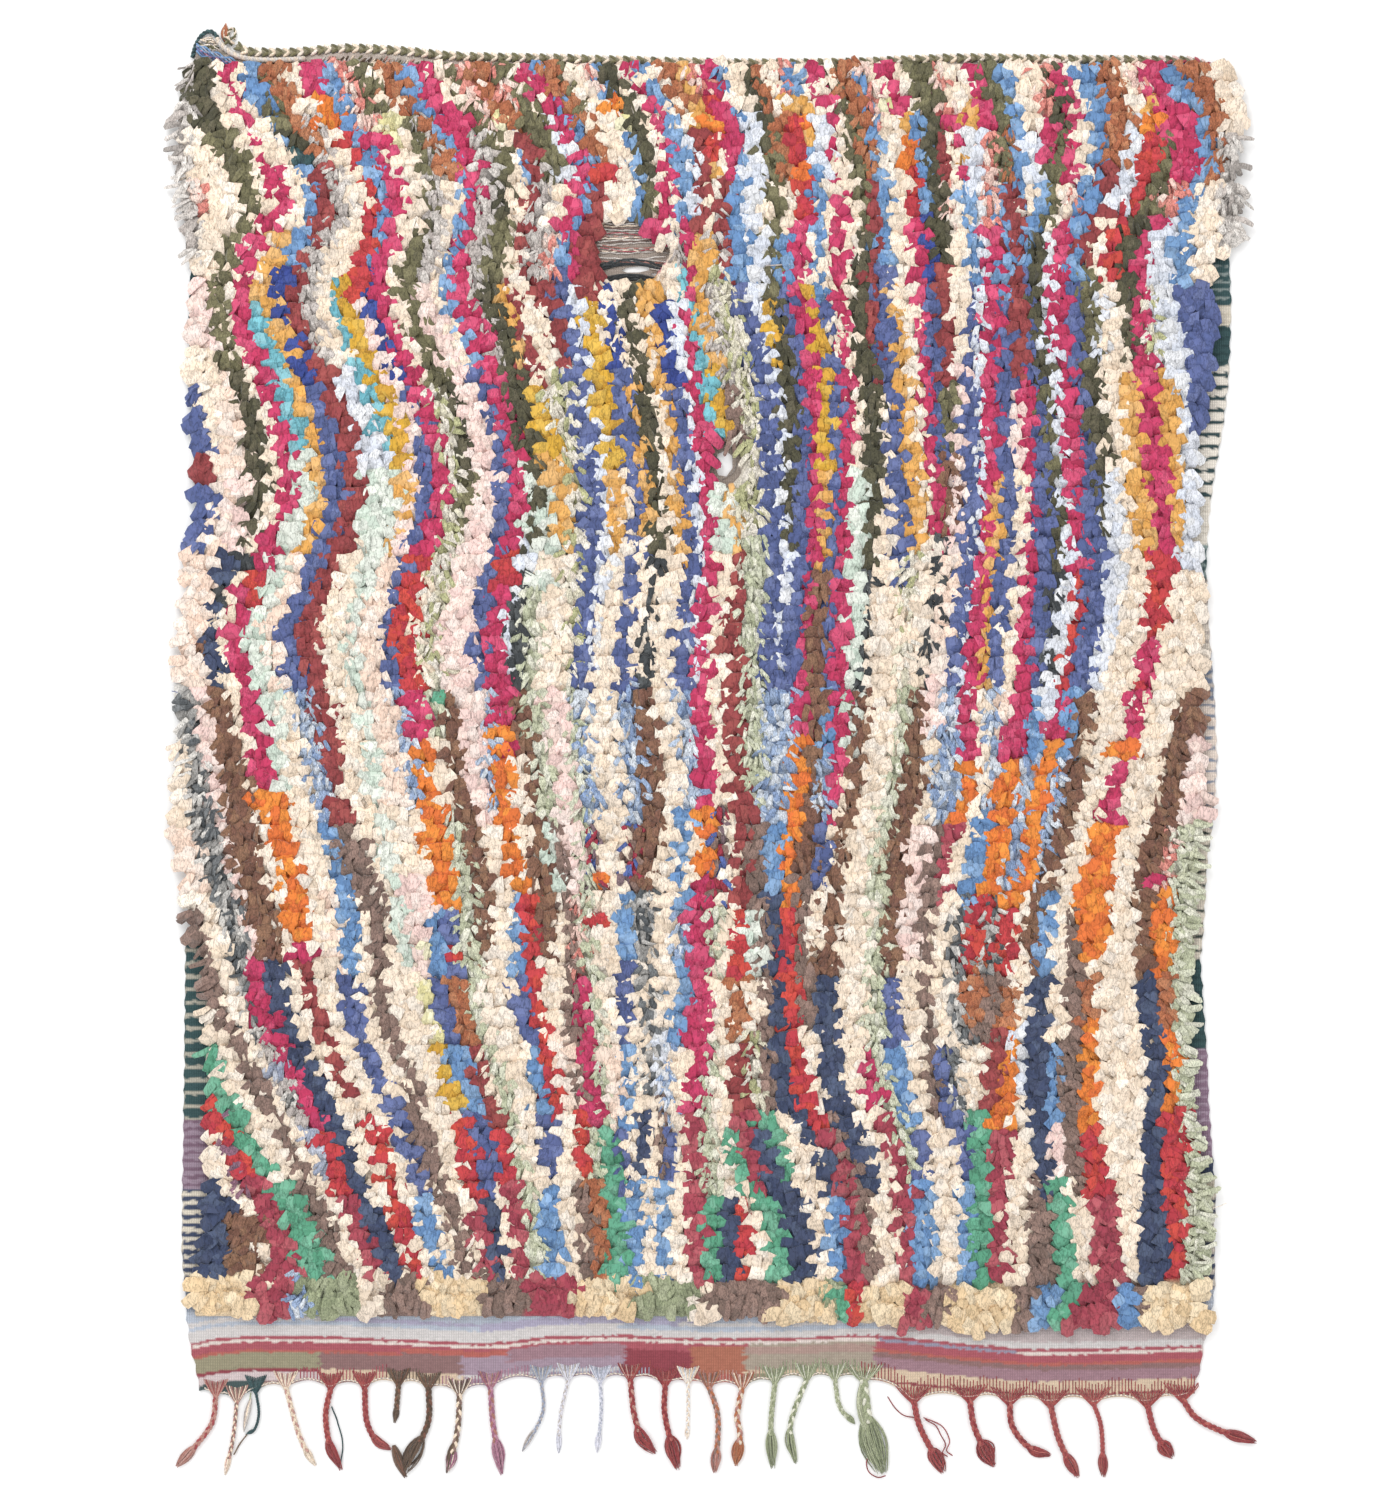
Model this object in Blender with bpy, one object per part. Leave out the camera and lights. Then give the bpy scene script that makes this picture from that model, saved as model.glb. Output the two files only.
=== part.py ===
"""A rag-pile rug lying flat: rag shag on a woven ground, a braided top edge, a corner tie and a fringe.

Metres, +Z up, +Y towards the braided edge. The plan is drawn as a weaver's cartoon: x runs to the right,
y runs down the rug, and one cartoon unit is CARTOON_UNIT metres of rug.
"""

import math
from collections import namedtuple

import bpy
import numpy as np
from mathutils import Vector
from mathutils.geometry import delaunay_2d_cdt

# Driving sizes in metres
CARTOON_UNIT = 0.00155
GROUND_THICKNESS = 0.004
PILE_LOW = 0.014
PILE_HIGH = 0.029
ROW_PITCH = 0.027
LUMP_WIDTH = 0.040
PIECE_GAP = 0.0003
BRAID_WIDTH = 0.0124
BRAID_HEIGHT = 0.010
BRAID_SIDE = 0.0035
TIE_SIDE = 0.0015
STRIP_WIDTH = 0.0055
STRIP_THICKNESS = 0.0035
CORD_HEIGHT = 0.008
BACK_POINT_PITCH = 0.110

# Places and lengths on the cartoon, in its units
CARTOON_MIDDLE = (716.0, 752.0)
PILE_END = 1322.0
PILE_SLOPE = 9.0
HEADING = 7.0
HEM_STEP = 8.0
SCALLOP = 0.16
SCALLOP_MOST = 7.0
ROUTE_STEP = 9.0
BRAID_STEP = 6.5
TIE_STEP = 4.0
ROOT_FLARE = 5.0
ROOT_FLARE_LENGTH = 12.0
TUFT_POINT = 0.5
END_DROP = 7.0
LUMP_JITTER = 3.0
RIM_CLEARANCE = 6.0
HOLE_CLEARANCE = 4.0
PILE_ROWS = (58.0, 1400.0)

# A side's rows: place down the rug, place of the rim, width of the bare selvedge, length of the rim's locks
Side = namedtuple("Side", "down edge bare lock")
LEFT_SIDE = (
    Side(66, 192, 0, 5),
    Side(87, 187, 0, 8),
    Side(112, 181, 0, 8),
    Side(140, 177, 0, 9),
    Side(170, 179, 0, 7),
    Side(215, 187, 0, 6),
    Side(240, 185, 0, 9),
    Side(268, 188, 12, 4),
    Side(370, 186, 9, 4),
    Side(406, 190, 8, 5),
    Side(473, 192, 8, 5),
    Side(502, 196, 8, 6),
    Side(536, 187, 6, 5),
    Side(600, 187, 4, 5),
    Side(690, 182, 0, 8),
    Side(760, 183, 0, 7),
    Side(810, 179, 0, 8),
    Side(862, 186, 0, 7),
    Side(930, 189, 4, 5),
    Side(946, 184, 20, 2),
    Side(1116, 182, 22, 2),
    Side(1175, 181, 24, 2),
    Side(1245, 180, 22, 2),
    Side(1311, 184, 8, 2),
    Side(1347, 189, 0, 1),
    Side(1363, 193, 0, 1),
    Side(1385, 198, 0, 1),
)
RIGHT_SIDE = (
    Side(76, 1226, 0, 5),
    Side(89, 1235, 0, 7),
    Side(118, 1238, 0, 7),
    Side(146, 1236, 0, 7),
    Side(204, 1238, 0, 8),
    Side(240, 1237, 0, 8),
    Side(256, 1231, 24, 3),
    Side(307, 1233, 20, 2),
    Side(383, 1230, 28, 2),
    Side(424, 1225, 32, 2),
    Side(468, 1217, 26, 2),
    Side(495, 1213, 22, 2),
    Side(536, 1209, 14, 2),
    Side(577, 1208, 12, 2),
    Side(654, 1213, 14, 3),
    Side(713, 1217, 20, 2),
    Side(760, 1219, 22, 2),
    Side(826, 1214, 14, 2),
    Side(860, 1209, 14, 2),
    Side(932, 1205, 16, 2),
    Side(956, 1202, 18, 2),
    Side(1034, 1207, 16, 2),
    Side(1060, 1209, 22, 2),
    Side(1114, 1211, 20, 2),
    Side(1167, 1215, 14, 2),
    Side(1203, 1218, 10, 3),
    Side(1226, 1216, 12, 2),
    Side(1284, 1217, 18, 2),
    Side(1320, 1213, 4, 2),
    Side(1345, 1205, 0, 1),
    Side(1368, 1202, 0, 1),
    Side(1388, 1195, 0, 1),
)

# The braid's middle line: x, y
BRAID_LINE = (
    (236.5, 44.5),
    (242, 48),
    (250, 50.5),
    (293, 51),
    (344, 47),
    (405, 50),
    (456, 55),
    (551, 57),
    (653, 60),
    (755, 62),
    (857, 61),
    (955, 57),
    (1059, 58),
    (1164, 59),
    (1193, 60),
    (1210, 66),
    (1224, 73),
)
# The cloth's corners, where the braid doesn't cover its top edge: x, y
TOP_LEFT_CORNER = ((192, 62), (196, 52), (205, 46.5), (219, 47.8), (233, 50.8), (241, 54.6))

# Worn-through places in the cloth, with their turn in degrees
Hole = namedtuple("Hole", "x y half_length half_width turn")
WORN_HOLES = (
    Hole(724, 463, 14, 9.5, 96),
    Hole(634, 264, 17, 3.0, -4),
    Hole(641, 275, 10, 1.8, -4),
)
HOLE_POINTS = 12
# Places where the pile is worn down to the ground
Thin = namedtuple("Thin", "x y half_width half_length")
THIN_PLACES = (Thin(626, 260, 44, 30), Thin(724, 463, 24, 28))

# Tassels: half widths of cord and tuft, the tuft's share of the length, and the route below the root
Tassel = namedtuple("Tassel", "root_x root_y cord tuft tuft_share route")
TASSELS = (
    Tassel(215, 1396, 3.0, 5.0, 0.30, ((211, 1424), (193, 1449), (176, 1468))),
    Tassel(236, 1402, 2.2, 2.8, 0.20, ((232, 1440), (224, 1476))),
    Tassel(255, 1392, 2.6, 2.4, 0.20, ((258, 1414), (254, 1430), (245, 1436))),
    Tassel(285, 1388, 2.8, 3.6, 0.25, ((297, 1432), (307, 1455), (315, 1467))),
    Tassel(330, 1389, 3.2, 5.5, 0.40, ((325, 1416), (329, 1446), (340, 1471))),
    Tassel(364, 1388, 3.2, 4.0, 0.35, ((366, 1422), (376, 1442), (390, 1450))),
    Tassel(398, 1385, 3.0, 3.0, 0.40, ((396, 1408), (394, 1424))),
    Tassel(428, 1389, 3.4, 9.0, 0.45, ((428, 1421), (417, 1448), (404, 1473))),
    Tassel(459, 1395, 3.2, 5.5, 0.30, ((457, 1431), (448, 1472))),
    Tassel(490, 1388, 3.2, 6.0, 0.35, ((493, 1428), (502, 1475))),
    Tassel(541, 1382, 2.0, 3.2, 0.35, ((542, 1415), (522, 1453))),
    Tassel(568, 1380, 2.0, 2.8, 0.30, ((560, 1418), (558, 1454))),
    Tassel(600, 1382, 2.0, 2.8, 0.30, ((601, 1413), (597, 1454))),
    Tassel(630, 1380, 3.2, 7.5, 0.40, ((634, 1416), (642, 1438), (655, 1454))),
    Tassel(665, 1386, 3.2, 7.5, 0.40, ((665, 1418), (678, 1470))),
    Tassel(688, 1383, 1.9, 2.0, 0.20, ((688, 1414), (687, 1441))),
    Tassel(709, 1388, 3.0, 5.0, 0.30, ((718, 1420), (715, 1474))),
    Tassel(742, 1389, 3.2, 6.0, 0.35, ((737, 1418), (740, 1436), (735, 1467))),
    Tassel(775, 1383, 3.0, 6.0, 0.45, ((771, 1426), (773, 1469))),
    Tassel(807, 1380, 3.0, 5.0, 0.40, ((793, 1416), (790, 1440), (795, 1464))),
    Tassel(835, 1380, 2.6, 2.8, 0.25, ((840, 1408), (855, 1425))),
    Tassel(864, 1381, 4.4, 14.0, 0.55, ((870, 1426), (884, 1473))),
    Tassel(914, 1402, 3.4, 7.0, 0.35, ((921, 1430), (944, 1473))),
    Tassel(970, 1401, 3.4, 9.5, 0.40, ((976, 1432), (995, 1467))),
    Tassel(1010, 1404, 3.4, 5.5, 0.30, ((1013, 1428), (1030, 1449), (1051, 1456))),
    Tassel(1051, 1406, 3.4, 8.0, 0.30, ((1060, 1442), (1078, 1478))),
    Tassel(1094, 1404, 2.6, 5.0, 0.25, ((1102, 1430), (1104, 1478))),
    Tassel(1148, 1406, 3.4, 8.5, 0.40, ((1156, 1434), (1173, 1459))),
    Tassel(1183, 1400, 3.4, 5.5, 0.30, ((1197, 1419), (1224, 1433), (1257, 1443))),
)

# The corner tie's ribbons: the loop of cord and the two parts of the tuft, each with its height in metres
TieCord = namedtuple("TieCord", "half_width height route")
TIE_CORDS = (
    TieCord(1.9, 0.0045, ((191.5, 56), (195, 44), (201, 34), (209, 30), (215, 34), (219, 41), (222, 44.5))),
    TieCord(4.2, 0.0100, ((226, 45), (225, 35), (224, 23))),
    TieCord(3.2, 0.0080, ((231, 45), (233.5, 36), (230.5, 27))),
)
TIE_KNOT = ((218, 47.5), (219, 41), (226, 37.5), (233, 40.5), (233.6, 47.4), (233, 50.5))

# Materials: colour in linear light, roughness
RAG_PILE = ((0.52, 0.36, 0.33), 0.95)
EDGE_YARN = ((0.55, 0.48, 0.36), 0.90)
TIE_YARN = ((0.09, 0.12, 0.11), 0.90)
FRINGE_YARN = ((0.36, 0.12, 0.12), 0.90)

LUMP_SEED = 11
RIM_SEED = 5
MERGE_TOLERANCE = 1e-7


def clear_scene():
    """Removes whatever the file starts with."""
    for thing in list(bpy.data.objects):
        bpy.data.objects.remove(thing)


def metres(points):
    """Cartoon points as plan points in metres, x to the right and y up the rug."""
    points = np.asarray(points, float)
    return np.column_stack(
        [points[:, 0] - CARTOON_MIDDLE[0], CARTOON_MIDDLE[1] - points[:, 1]]
    ) * CARTOON_UNIT


def column(table, name):
    """One named column of a table."""
    return np.array([getattr(row, name) for row in table], float)


def smooth_route(points, step):
    """A smooth curve through the points (a Catmull-Rom spline), sampled about every step."""
    points = np.asarray(points, float)
    ends = np.vstack([2 * points[0] - points[1], points, 2 * points[-1] - points[-2]])
    samples = [points[:1]]
    for before, start, end, after in zip(ends, ends[1:], ends[2:], ends[3:]):
        count = max(1, round(float(np.linalg.norm(end - start)) / step))
        t = (np.arange(count) + 1.0)[:, None] / count
        samples.append(
            0.5 * (2 * start + (end - before) * t + (2 * before - 5 * start + 4 * end - after) * t**2
                   + (3 * start - before - 3 * end + after) * t**3)
        )
    return np.vstack(samples)


def ribbon(line, half_widths, tip=0.0):
    """A closed loop down one side of a line, round a pointed tip beyond its end and back up the other side."""
    along = np.gradient(line, axis=0)
    along /= np.linalg.norm(along, axis=1)[:, None]
    across = np.column_stack([-along[:, 1], along[:, 0]]) * np.asarray(half_widths, float)[:, None]
    point = line[-1:] + along[-1:] * tip
    return np.vstack([line + across, point[: int(tip > 0)], (line - across)[::-1]])


def inside(points, loop):
    """Which points lie in a closed loop: those with an odd number of its edges to their right."""
    x, y = points[:, :1], points[:, 1:]
    start, end = loop, np.roll(loop, -1, axis=0)
    rise = end[:, 1] - start[:, 1]
    rise = np.where(rise == 0, 1e-12, rise)
    crossing = start[:, 0] + (y - start[:, 1]) * (end[:, 0] - start[:, 0]) / rise
    spans = (start[:, 1] > y) != (end[:, 1] > y)
    return (spans & (crossing > x)).sum(axis=1) % 2 == 1


def loop_edges(loops):
    """The edges of closed loops whose points are numbered one loop after another."""
    edges, first = [], 0
    for loop in loops:
        count = len(loop)
        edges += [(first + i, first + (i + 1) % count) for i in range(count)]
        first += count
    return edges


def triangles_over(points, edges, keep):
    """Constrained Delaunay triangles, facing up, whose middles pass the keep test, with their points."""
    found, _, faces, sources, _, _ = delaunay_2d_cdt(
        [Vector(p) for p in points], edges, [], 0, MERGE_TOLERANCE
    )
    found = np.array([tuple(v) for v in found])
    faces = np.array([f for f in faces if len(f) == 3])
    a, b, c = found[faces[:, 0]], found[faces[:, 1]], found[faces[:, 2]]
    area = (b - a)[:, 0] * (c - a)[:, 1] - (b - a)[:, 1] * (c - a)[:, 0]
    faces = np.where((area < 0)[:, None], faces[:, ::-1], faces)
    return found, faces[keep((a + b + c) / 3)], sources


def rim_edges(faces):
    """The directed edges that only one triangle has."""
    edges = np.vstack([faces[:, [0, 1]], faces[:, [1, 2]], faces[:, [2, 0]]])
    keys = np.sort(edges, axis=1)
    _, where, counts = np.unique(keys, axis=0, return_inverse=True, return_counts=True)
    return edges[counts[where.reshape(-1)] == 1]


def crowned_solid(name, loops, spots, keep, height_of, side_of, back_spots, look):
    """A closed solid with a flat underside at z = 0 and a top at height_of, its sides side_of high.

    loops are its outlines and spots the loose points of its top, both in plan metres. Where a side has no
    height, the top meets the underside in one edge.
    """
    plan, top, _ = triangles_over(np.vstack([*loops, spots]), loop_edges(loops), keep)
    used = np.unique(top)
    rim = rim_edges(top)
    on_rim = np.zeros(len(plan), bool)
    on_rim[rim] = True
    heights = np.where(on_rim, side_of(plan), height_of(plan))

    rim_points = np.unique(rim)
    back_of = {int(p): i for i, p in enumerate(rim_points)}
    back_edges = [(back_of[int(a)], back_of[int(b)]) for a, b in rim]
    back_plan, back, sources = triangles_over(
        np.vstack([plan[rim_points], back_spots]), back_edges, keep
    )

    vertices = [(*plan[i], heights[i]) for i in used]
    place = {int(p): i for i, p in enumerate(used)}
    below = {}
    for p in rim_points:
        if heights[p] > 0:
            below[int(p)] = len(vertices)
            vertices.append((*plan[p], 0.0))
        else:
            below[int(p)] = place[int(p)]
    back_place = {}
    for i in np.unique(back):
        source = sources[i][0]
        if source < len(rim_points):
            back_place[int(i)] = below[int(rim_points[source])]
        else:
            back_place[int(i)] = len(vertices)
            vertices.append((*back_plan[i], 0.0))

    faces = [tuple(place[int(p)] for p in f) for f in top]
    faces += [tuple(back_place[int(p)] for p in f[::-1]) for f in back]
    for a, b in rim:
        around = [place[int(b)], place[int(a)], below[int(a)], below[int(b)]]
        corners = [p for i, p in enumerate(around) if p != around[i - 1]]
        if len(corners) == 4:
            faces += [tuple(corners[:3]), (corners[0], corners[2], corners[3])]
        elif len(corners) == 3:
            faces.append(tuple(corners))
    return add_object(name, vertices, faces, look)


def add_object(name, vertices, faces, look):
    """One named mesh object with its own material."""
    mesh = bpy.data.meshes.new(name)
    mesh.from_pydata([tuple(map(float, v)) for v in vertices], [], faces)
    mesh.shade_smooth()
    mesh.set_sharp_from_angle(angle=math.radians(50))
    made = bpy.data.objects.new(name, mesh)
    bpy.context.scene.collection.objects.link(made)
    colour, roughness = look
    material = bpy.data.materials.new(name)
    material.use_nodes = True
    shader = material.node_tree.nodes["Principled BSDF"]
    shader.inputs["Base Color"].default_value = (*colour, 1.0)
    shader.inputs["Roughness"].default_value = roughness
    shader.inputs["Metallic"].default_value = 0.0
    mesh.materials.append(material)
    return made


def side_at(table, name, down):
    """A named column of a side's table at any place down the rug."""
    return np.interp(down, column(table, "down"), column(table, name))


def rim_points_of(table, outward, rng):
    """A side's rim from top to bottom: a valley and a lock's tip for each row of knots."""
    down = column(table, "down")
    row = ROW_PITCH / CARTOON_UNIT
    points = []
    for start in np.arange(down[0], down[-1] - row / 2, row):
        for share, reach in ((0.0, -0.5), (0.55, 0.5)):
            place = start + row * (share + rng.uniform(-0.08, 0.08) * (share > 0))
            lock = side_at(table, "lock", place) * rng.uniform(0.6, 1.0)
            points.append((side_at(table, "edge", place) + outward * lock * reach, place))
    points.append((side_at(table, "edge", down[-1]), down[-1]))
    return points


def hem_roots():
    """The tassel roots and the hem's two ends, left to right: the lowest points of its scallops."""
    roots = [(tassel.root_x, tassel.root_y) for tassel in TASSELS]
    left, right = LEFT_SIDE[-1], RIGHT_SIDE[-1]
    return np.array(
        [(left.edge, left.down + END_DROP), *roots, (right.edge, right.down + END_DROP)], float
    )


def hem_line():
    """The hem from left to right: between two roots it rises in a low arch."""
    points = []
    roots = hem_roots()
    for start, end in zip(roots, roots[1:]):
        gap = end[0] - start[0]
        count = max(2, round(gap / HEM_STEP))
        t = np.arange(count) / count
        rise = min(SCALLOP * gap, SCALLOP_MOST) * np.sin(np.pi * t)
        points.append(np.column_stack([start[0] + gap * t, start[1] + (end[1] - start[1]) * t - rise]))
    return np.vstack([*points, roots[-1:]])


def braid_middle():
    """The braid's middle line in cartoon points."""
    return smooth_route(BRAID_LINE, BRAID_STEP)


def top_edge():
    """The cloth's top edge from left to right, just under the braid."""
    line = braid_middle()[3:]
    drop = (BRAID_WIDTH / 2 + PIECE_GAP) / CARTOON_UNIT
    along = np.gradient(line, axis=0)
    along /= np.linalg.norm(along, axis=1)[:, None]
    under = line + np.column_stack([-along[:, 1], along[:, 0]]) * drop
    return np.vstack([TOP_LEFT_CORNER, under[under[:, 0] > TOP_LEFT_CORNER[-1][0] + 4][::3]])


def ellipse(x, y, half_length, half_width, turn):
    """A closed loop round a worn hole."""
    angle = np.arange(HOLE_POINTS) * 2 * math.pi / HOLE_POINTS
    long_way = half_length * np.cos(angle)
    short_way = half_width * np.sin(angle)
    cos, sin = math.cos(math.radians(turn)), math.sin(math.radians(turn))
    return np.column_stack([x + long_way * cos - short_way * sin, y + long_way * sin + short_way * cos])


def cloth_outline():
    """The cloth's outline: top edge, right side, hem and left side."""
    rng = np.random.default_rng(RIM_SEED)
    left = rim_points_of(LEFT_SIDE, -1, rng)
    right = rim_points_of(RIGHT_SIDE, 1, rng)
    return np.vstack([top_edge(), right, hem_line()[::-1], left[::-1]])


def lump_spots():
    """The tops of the pile's lumps: staggered rows, one to a row of knots, and the selvedges' inner lines."""
    rng = np.random.default_rng(LUMP_SEED)
    width = LUMP_WIDTH / CARTOON_UNIT
    spots = []
    for number, down in enumerate(np.arange(*PILE_ROWS, ROW_PITCH / CARTOON_UNIT)):
        left = side_at(LEFT_SIDE, "edge", down) + side_at(LEFT_SIDE, "bare", down)
        right = side_at(RIGHT_SIDE, "edge", down) - side_at(RIGHT_SIDE, "bare", down)
        inner, outer = left + PILE_SLOPE, right - PILE_SLOPE
        count = round((outer - inner) / width)
        across = np.linspace(inner, outer, count) + (number % 2) * width / 3
        across[1:-1] += rng.uniform(-LUMP_JITTER, LUMP_JITTER, count - 2)
        spots += [(x, down + rng.uniform(-LUMP_JITTER, LUMP_JITTER)) for x in across]
        spots += [(left, down), (right, down)]
    return np.array(spots)


def clear_spots(spots, outline, holes):
    """The spots that lie in the outline, clear of it and of the holes."""
    to_rim = np.linalg.norm(spots[:, None] - outline[None], axis=2).min(axis=1)
    to_hole = np.linalg.norm(spots[:, None] - np.vstack(holes)[None], axis=2).min(axis=1)
    clear = (to_rim > RIM_CLEARANCE) & (to_hole > HOLE_CLEARANCE) & inside(spots, outline)
    for hole in holes:
        clear &= ~inside(spots, hole)
    return spots[clear]


def pile_amount(cartoon):
    """From 0 on bare cloth to 1 in full pile, for cartoon points."""
    x, y = cartoon[:, 0], cartoon[:, 1]
    top = np.interp(x, *top_edge().T)
    from_left = x - side_at(LEFT_SIDE, "edge", y) - side_at(LEFT_SIDE, "bare", y)
    from_right = side_at(RIGHT_SIDE, "edge", y) - side_at(RIGHT_SIDE, "bare", y) - x
    nearest = np.minimum.reduce([from_left, from_right, y - top - HEADING, PILE_END - y])
    amount = np.clip(nearest / PILE_SLOPE, 0.0, 1.0)
    for thin in THIN_PLACES:
        reach = np.hypot((x - thin.x) / thin.half_width, (y - thin.y) / thin.half_length)
        amount *= np.clip((reach - 0.75) / 0.5, 0.0, 1.0)
    return amount


def build_rug_body():
    """The ground cloth with its pile: a flat slab whose top is a row of lumps for each row of knots."""
    outline = cloth_outline()
    holes = [ellipse(*hole) for hole in WORN_HOLES]
    spots = clear_spots(lump_spots(), outline, holes)
    loops = [metres(outline), *[metres(hole) for hole in holes]]

    def keep(points):
        kept = inside(points, loops[0])
        for hole in loops[1:]:
            kept &= ~inside(points, hole)
        return kept

    def height_of(points):
        cartoon = np.column_stack(
            [points[:, 0] / CARTOON_UNIT + CARTOON_MIDDLE[0], CARTOON_MIDDLE[1] - points[:, 1] / CARTOON_UNIT]
        )
        lumps = np.random.default_rng(LUMP_SEED).uniform(PILE_LOW, PILE_HIGH, len(points))
        return GROUND_THICKNESS + pile_amount(cartoon) * (lumps - GROUND_THICKNESS)

    def side_of(points):
        return np.full(len(points), GROUND_THICKNESS)

    low, high = loops[0].min(axis=0) + BACK_POINT_PITCH, loops[0].max(axis=0) - BACK_POINT_PITCH
    grid = np.stack(np.meshgrid(np.arange(low[0], high[0], BACK_POINT_PITCH),
                                np.arange(low[1], high[1], BACK_POINT_PITCH)), axis=-1).reshape(-1, 2)
    to_hole = np.linalg.norm(grid[:, None] - np.vstack(loops[1:])[None], axis=2).min(axis=1)
    return crowned_solid("rug_body", loops, metres(spots), keep, height_of, side_of,
                         grid[to_hole > PILE_SLOPE * CARTOON_UNIT], RAG_PILE)


def near_line(points, lines):
    """For each point, the number of the line nearest to it and how far along that line it lies."""
    every = np.vstack(lines)
    owner = np.concatenate([np.full(len(line), i) for i, line in enumerate(lines)])
    share = np.concatenate([np.linspace(0, 1, len(line)) for line in lines])
    distance = np.linalg.norm(points[:, None] - every[None], axis=2)
    nearest = distance.argmin(axis=1)
    return owner[nearest], share[nearest]


def build_top_braid():
    """The braid: a ridged ribbon that is fuller at each crossing of its plies."""
    line = metres(braid_middle())
    pulse = np.where(np.arange(len(line)) % 2, 1.0, 0.86)
    half = BRAID_WIDTH / 2 * pulse
    half[[0, -1]] *= 0.7
    loop = ribbon(line, half)[::-1]

    def height_of(points):
        _, share = near_line(points, [line])
        return BRAID_HEIGHT * np.where(np.round(share * (len(line) - 1)) % 2, 1.0, 0.82)

    def side_of(points):
        return np.full(len(points), BRAID_SIDE)

    return crowned_solid("top_braid", [loop], line[1:-1], lambda p: inside(p, loop),
                         height_of, side_of, np.empty((0, 2)), EDGE_YARN)


def build_corner_knot():
    """The corner tie: a loop of cord, a knot seated on the cloth's corner and a two-part tuft."""
    lines = [metres(smooth_route(cord.route, TIE_STEP)) for cord in TIE_CORDS]
    loops = []
    for cord, line in zip(TIE_CORDS, lines):
        taper = np.minimum(1.0, 0.55 + 2.0 * (1 - np.linspace(0, 1, len(line))))
        loops.append(ribbon(line, cord.half_width * CARTOON_UNIT * taper))
    loops.append(metres(TIE_KNOT))
    tops = column(TIE_CORDS, "height")
    spots = np.vstack([line[1:-1] for line in lines])

    def keep(points):
        return np.logical_or.reduce([inside(points, loop) for loop in loops])

    def height_of(points):
        owner, _ = near_line(points, lines)
        return tops[owner]

    def side_of(points):
        return np.full(len(points), TIE_SIDE)

    return crowned_solid("corner_knot", loops, spots, keep, height_of, side_of,
                         np.empty((0, 2)), TIE_YARN)


def tassel_line(tassel):
    """A tassel's middle line in cartoon points, from inside the strip to its tip."""
    start = (tassel.root_x, tassel.root_y + STRIP_WIDTH / CARTOON_UNIT / 2)
    return smooth_route((start, *tassel.route), ROUTE_STEP)


def tassel_widths(tassel, line):
    """Half widths down a tassel: a flared root, a plaited cord that swells and narrows, and a tuft."""
    walked = np.concatenate([[0], np.cumsum(np.linalg.norm(np.diff(line, axis=0), axis=1))])
    share = walked / walked[-1]
    flare = ROOT_FLARE * np.clip(1 - walked / ROOT_FLARE_LENGTH, 0, 1)
    plait = 1 + 0.12 * np.where(np.arange(len(line)) % 2, 1.0, -1.0)
    into_tuft = np.clip((share - (1 - tassel.tuft_share)) / tassel.tuft_share, 0, 1)
    swell = np.sin(np.pi * np.clip(into_tuft, 0, 0.8) / 1.1)
    return (tassel.cord * plait + flare) * (1 - swell) + tassel.tuft * swell


def build_fringe():
    """The fringe: a narrow strip along the hem and the tassels that grow out of it, each three-sided."""
    hem = hem_line()
    upper = hem + (0.0, 1.4 * PIECE_GAP / CARTOON_UNIT)
    lower = upper + (0.0, STRIP_WIDTH / CARTOON_UNIT)
    strip = metres(np.vstack([upper, lower[::-1]]))
    lines = [tassel_line(tassel) for tassel in TASSELS]
    loops = [strip]
    tops = []
    for tassel, line in zip(TASSELS, lines):
        widths = tassel_widths(tassel, line)
        loops.append(metres(ribbon(line, widths, tip=widths[-1] * TUFT_POINT)))
        tops.append(np.minimum(CORD_HEIGHT, widths * CARTOON_UNIT * 1.7))
    middles = [metres(line) for line in lines]
    under_strip = metres(hem + (0.0, STRIP_WIDTH / CARTOON_UNIT + 2 * PIECE_GAP / CARTOON_UNIT))

    def keep(points):
        return np.logical_or.reduce([inside(points, loop) for loop in loops])

    def in_strip(points):
        reach = np.interp(points[:, 0], *under_strip.T)
        return points[:, 1] >= reach - MERGE_TOLERANCE

    def height_of(points):
        owner, share = near_line(points, middles)
        heights = np.array([
            np.interp(s, np.linspace(0, 1, len(tops[o])), tops[o]) for o, s in zip(owner, share)
        ])
        return np.where(in_strip(points), STRIP_THICKNESS, np.maximum(heights, STRIP_THICKNESS))

    def side_of(points):
        return np.where(in_strip(points), STRIP_THICKNESS, 0.0)

    spots = np.vstack([line[1:-1] for line in middles])
    return crowned_solid("fringe", loops, spots, keep, height_of, side_of,
                         np.empty((0, 2)), FRINGE_YARN)


def main():
    clear_scene()
    build_rug_body()
    build_top_braid()
    build_corner_knot()
    build_fringe()


main()
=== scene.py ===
"""A boucherouite rug seen from straight above: rag pile in wavy stripes on a woven ground, a plaited top edge,
a corner tie, a flat-woven end and a tasselled fringe.

The design is drawn as a weaver's cartoon: x runs to the right, y runs down the rug, and one cartoon unit is
CARTOON_UNIT metres of rug. Every piece is a surface worked out with numpy.
"""

import math
from collections import namedtuple

import bpy
import numpy as np
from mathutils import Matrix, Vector
from mathutils.geometry import delaunay_2d_cdt


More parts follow.
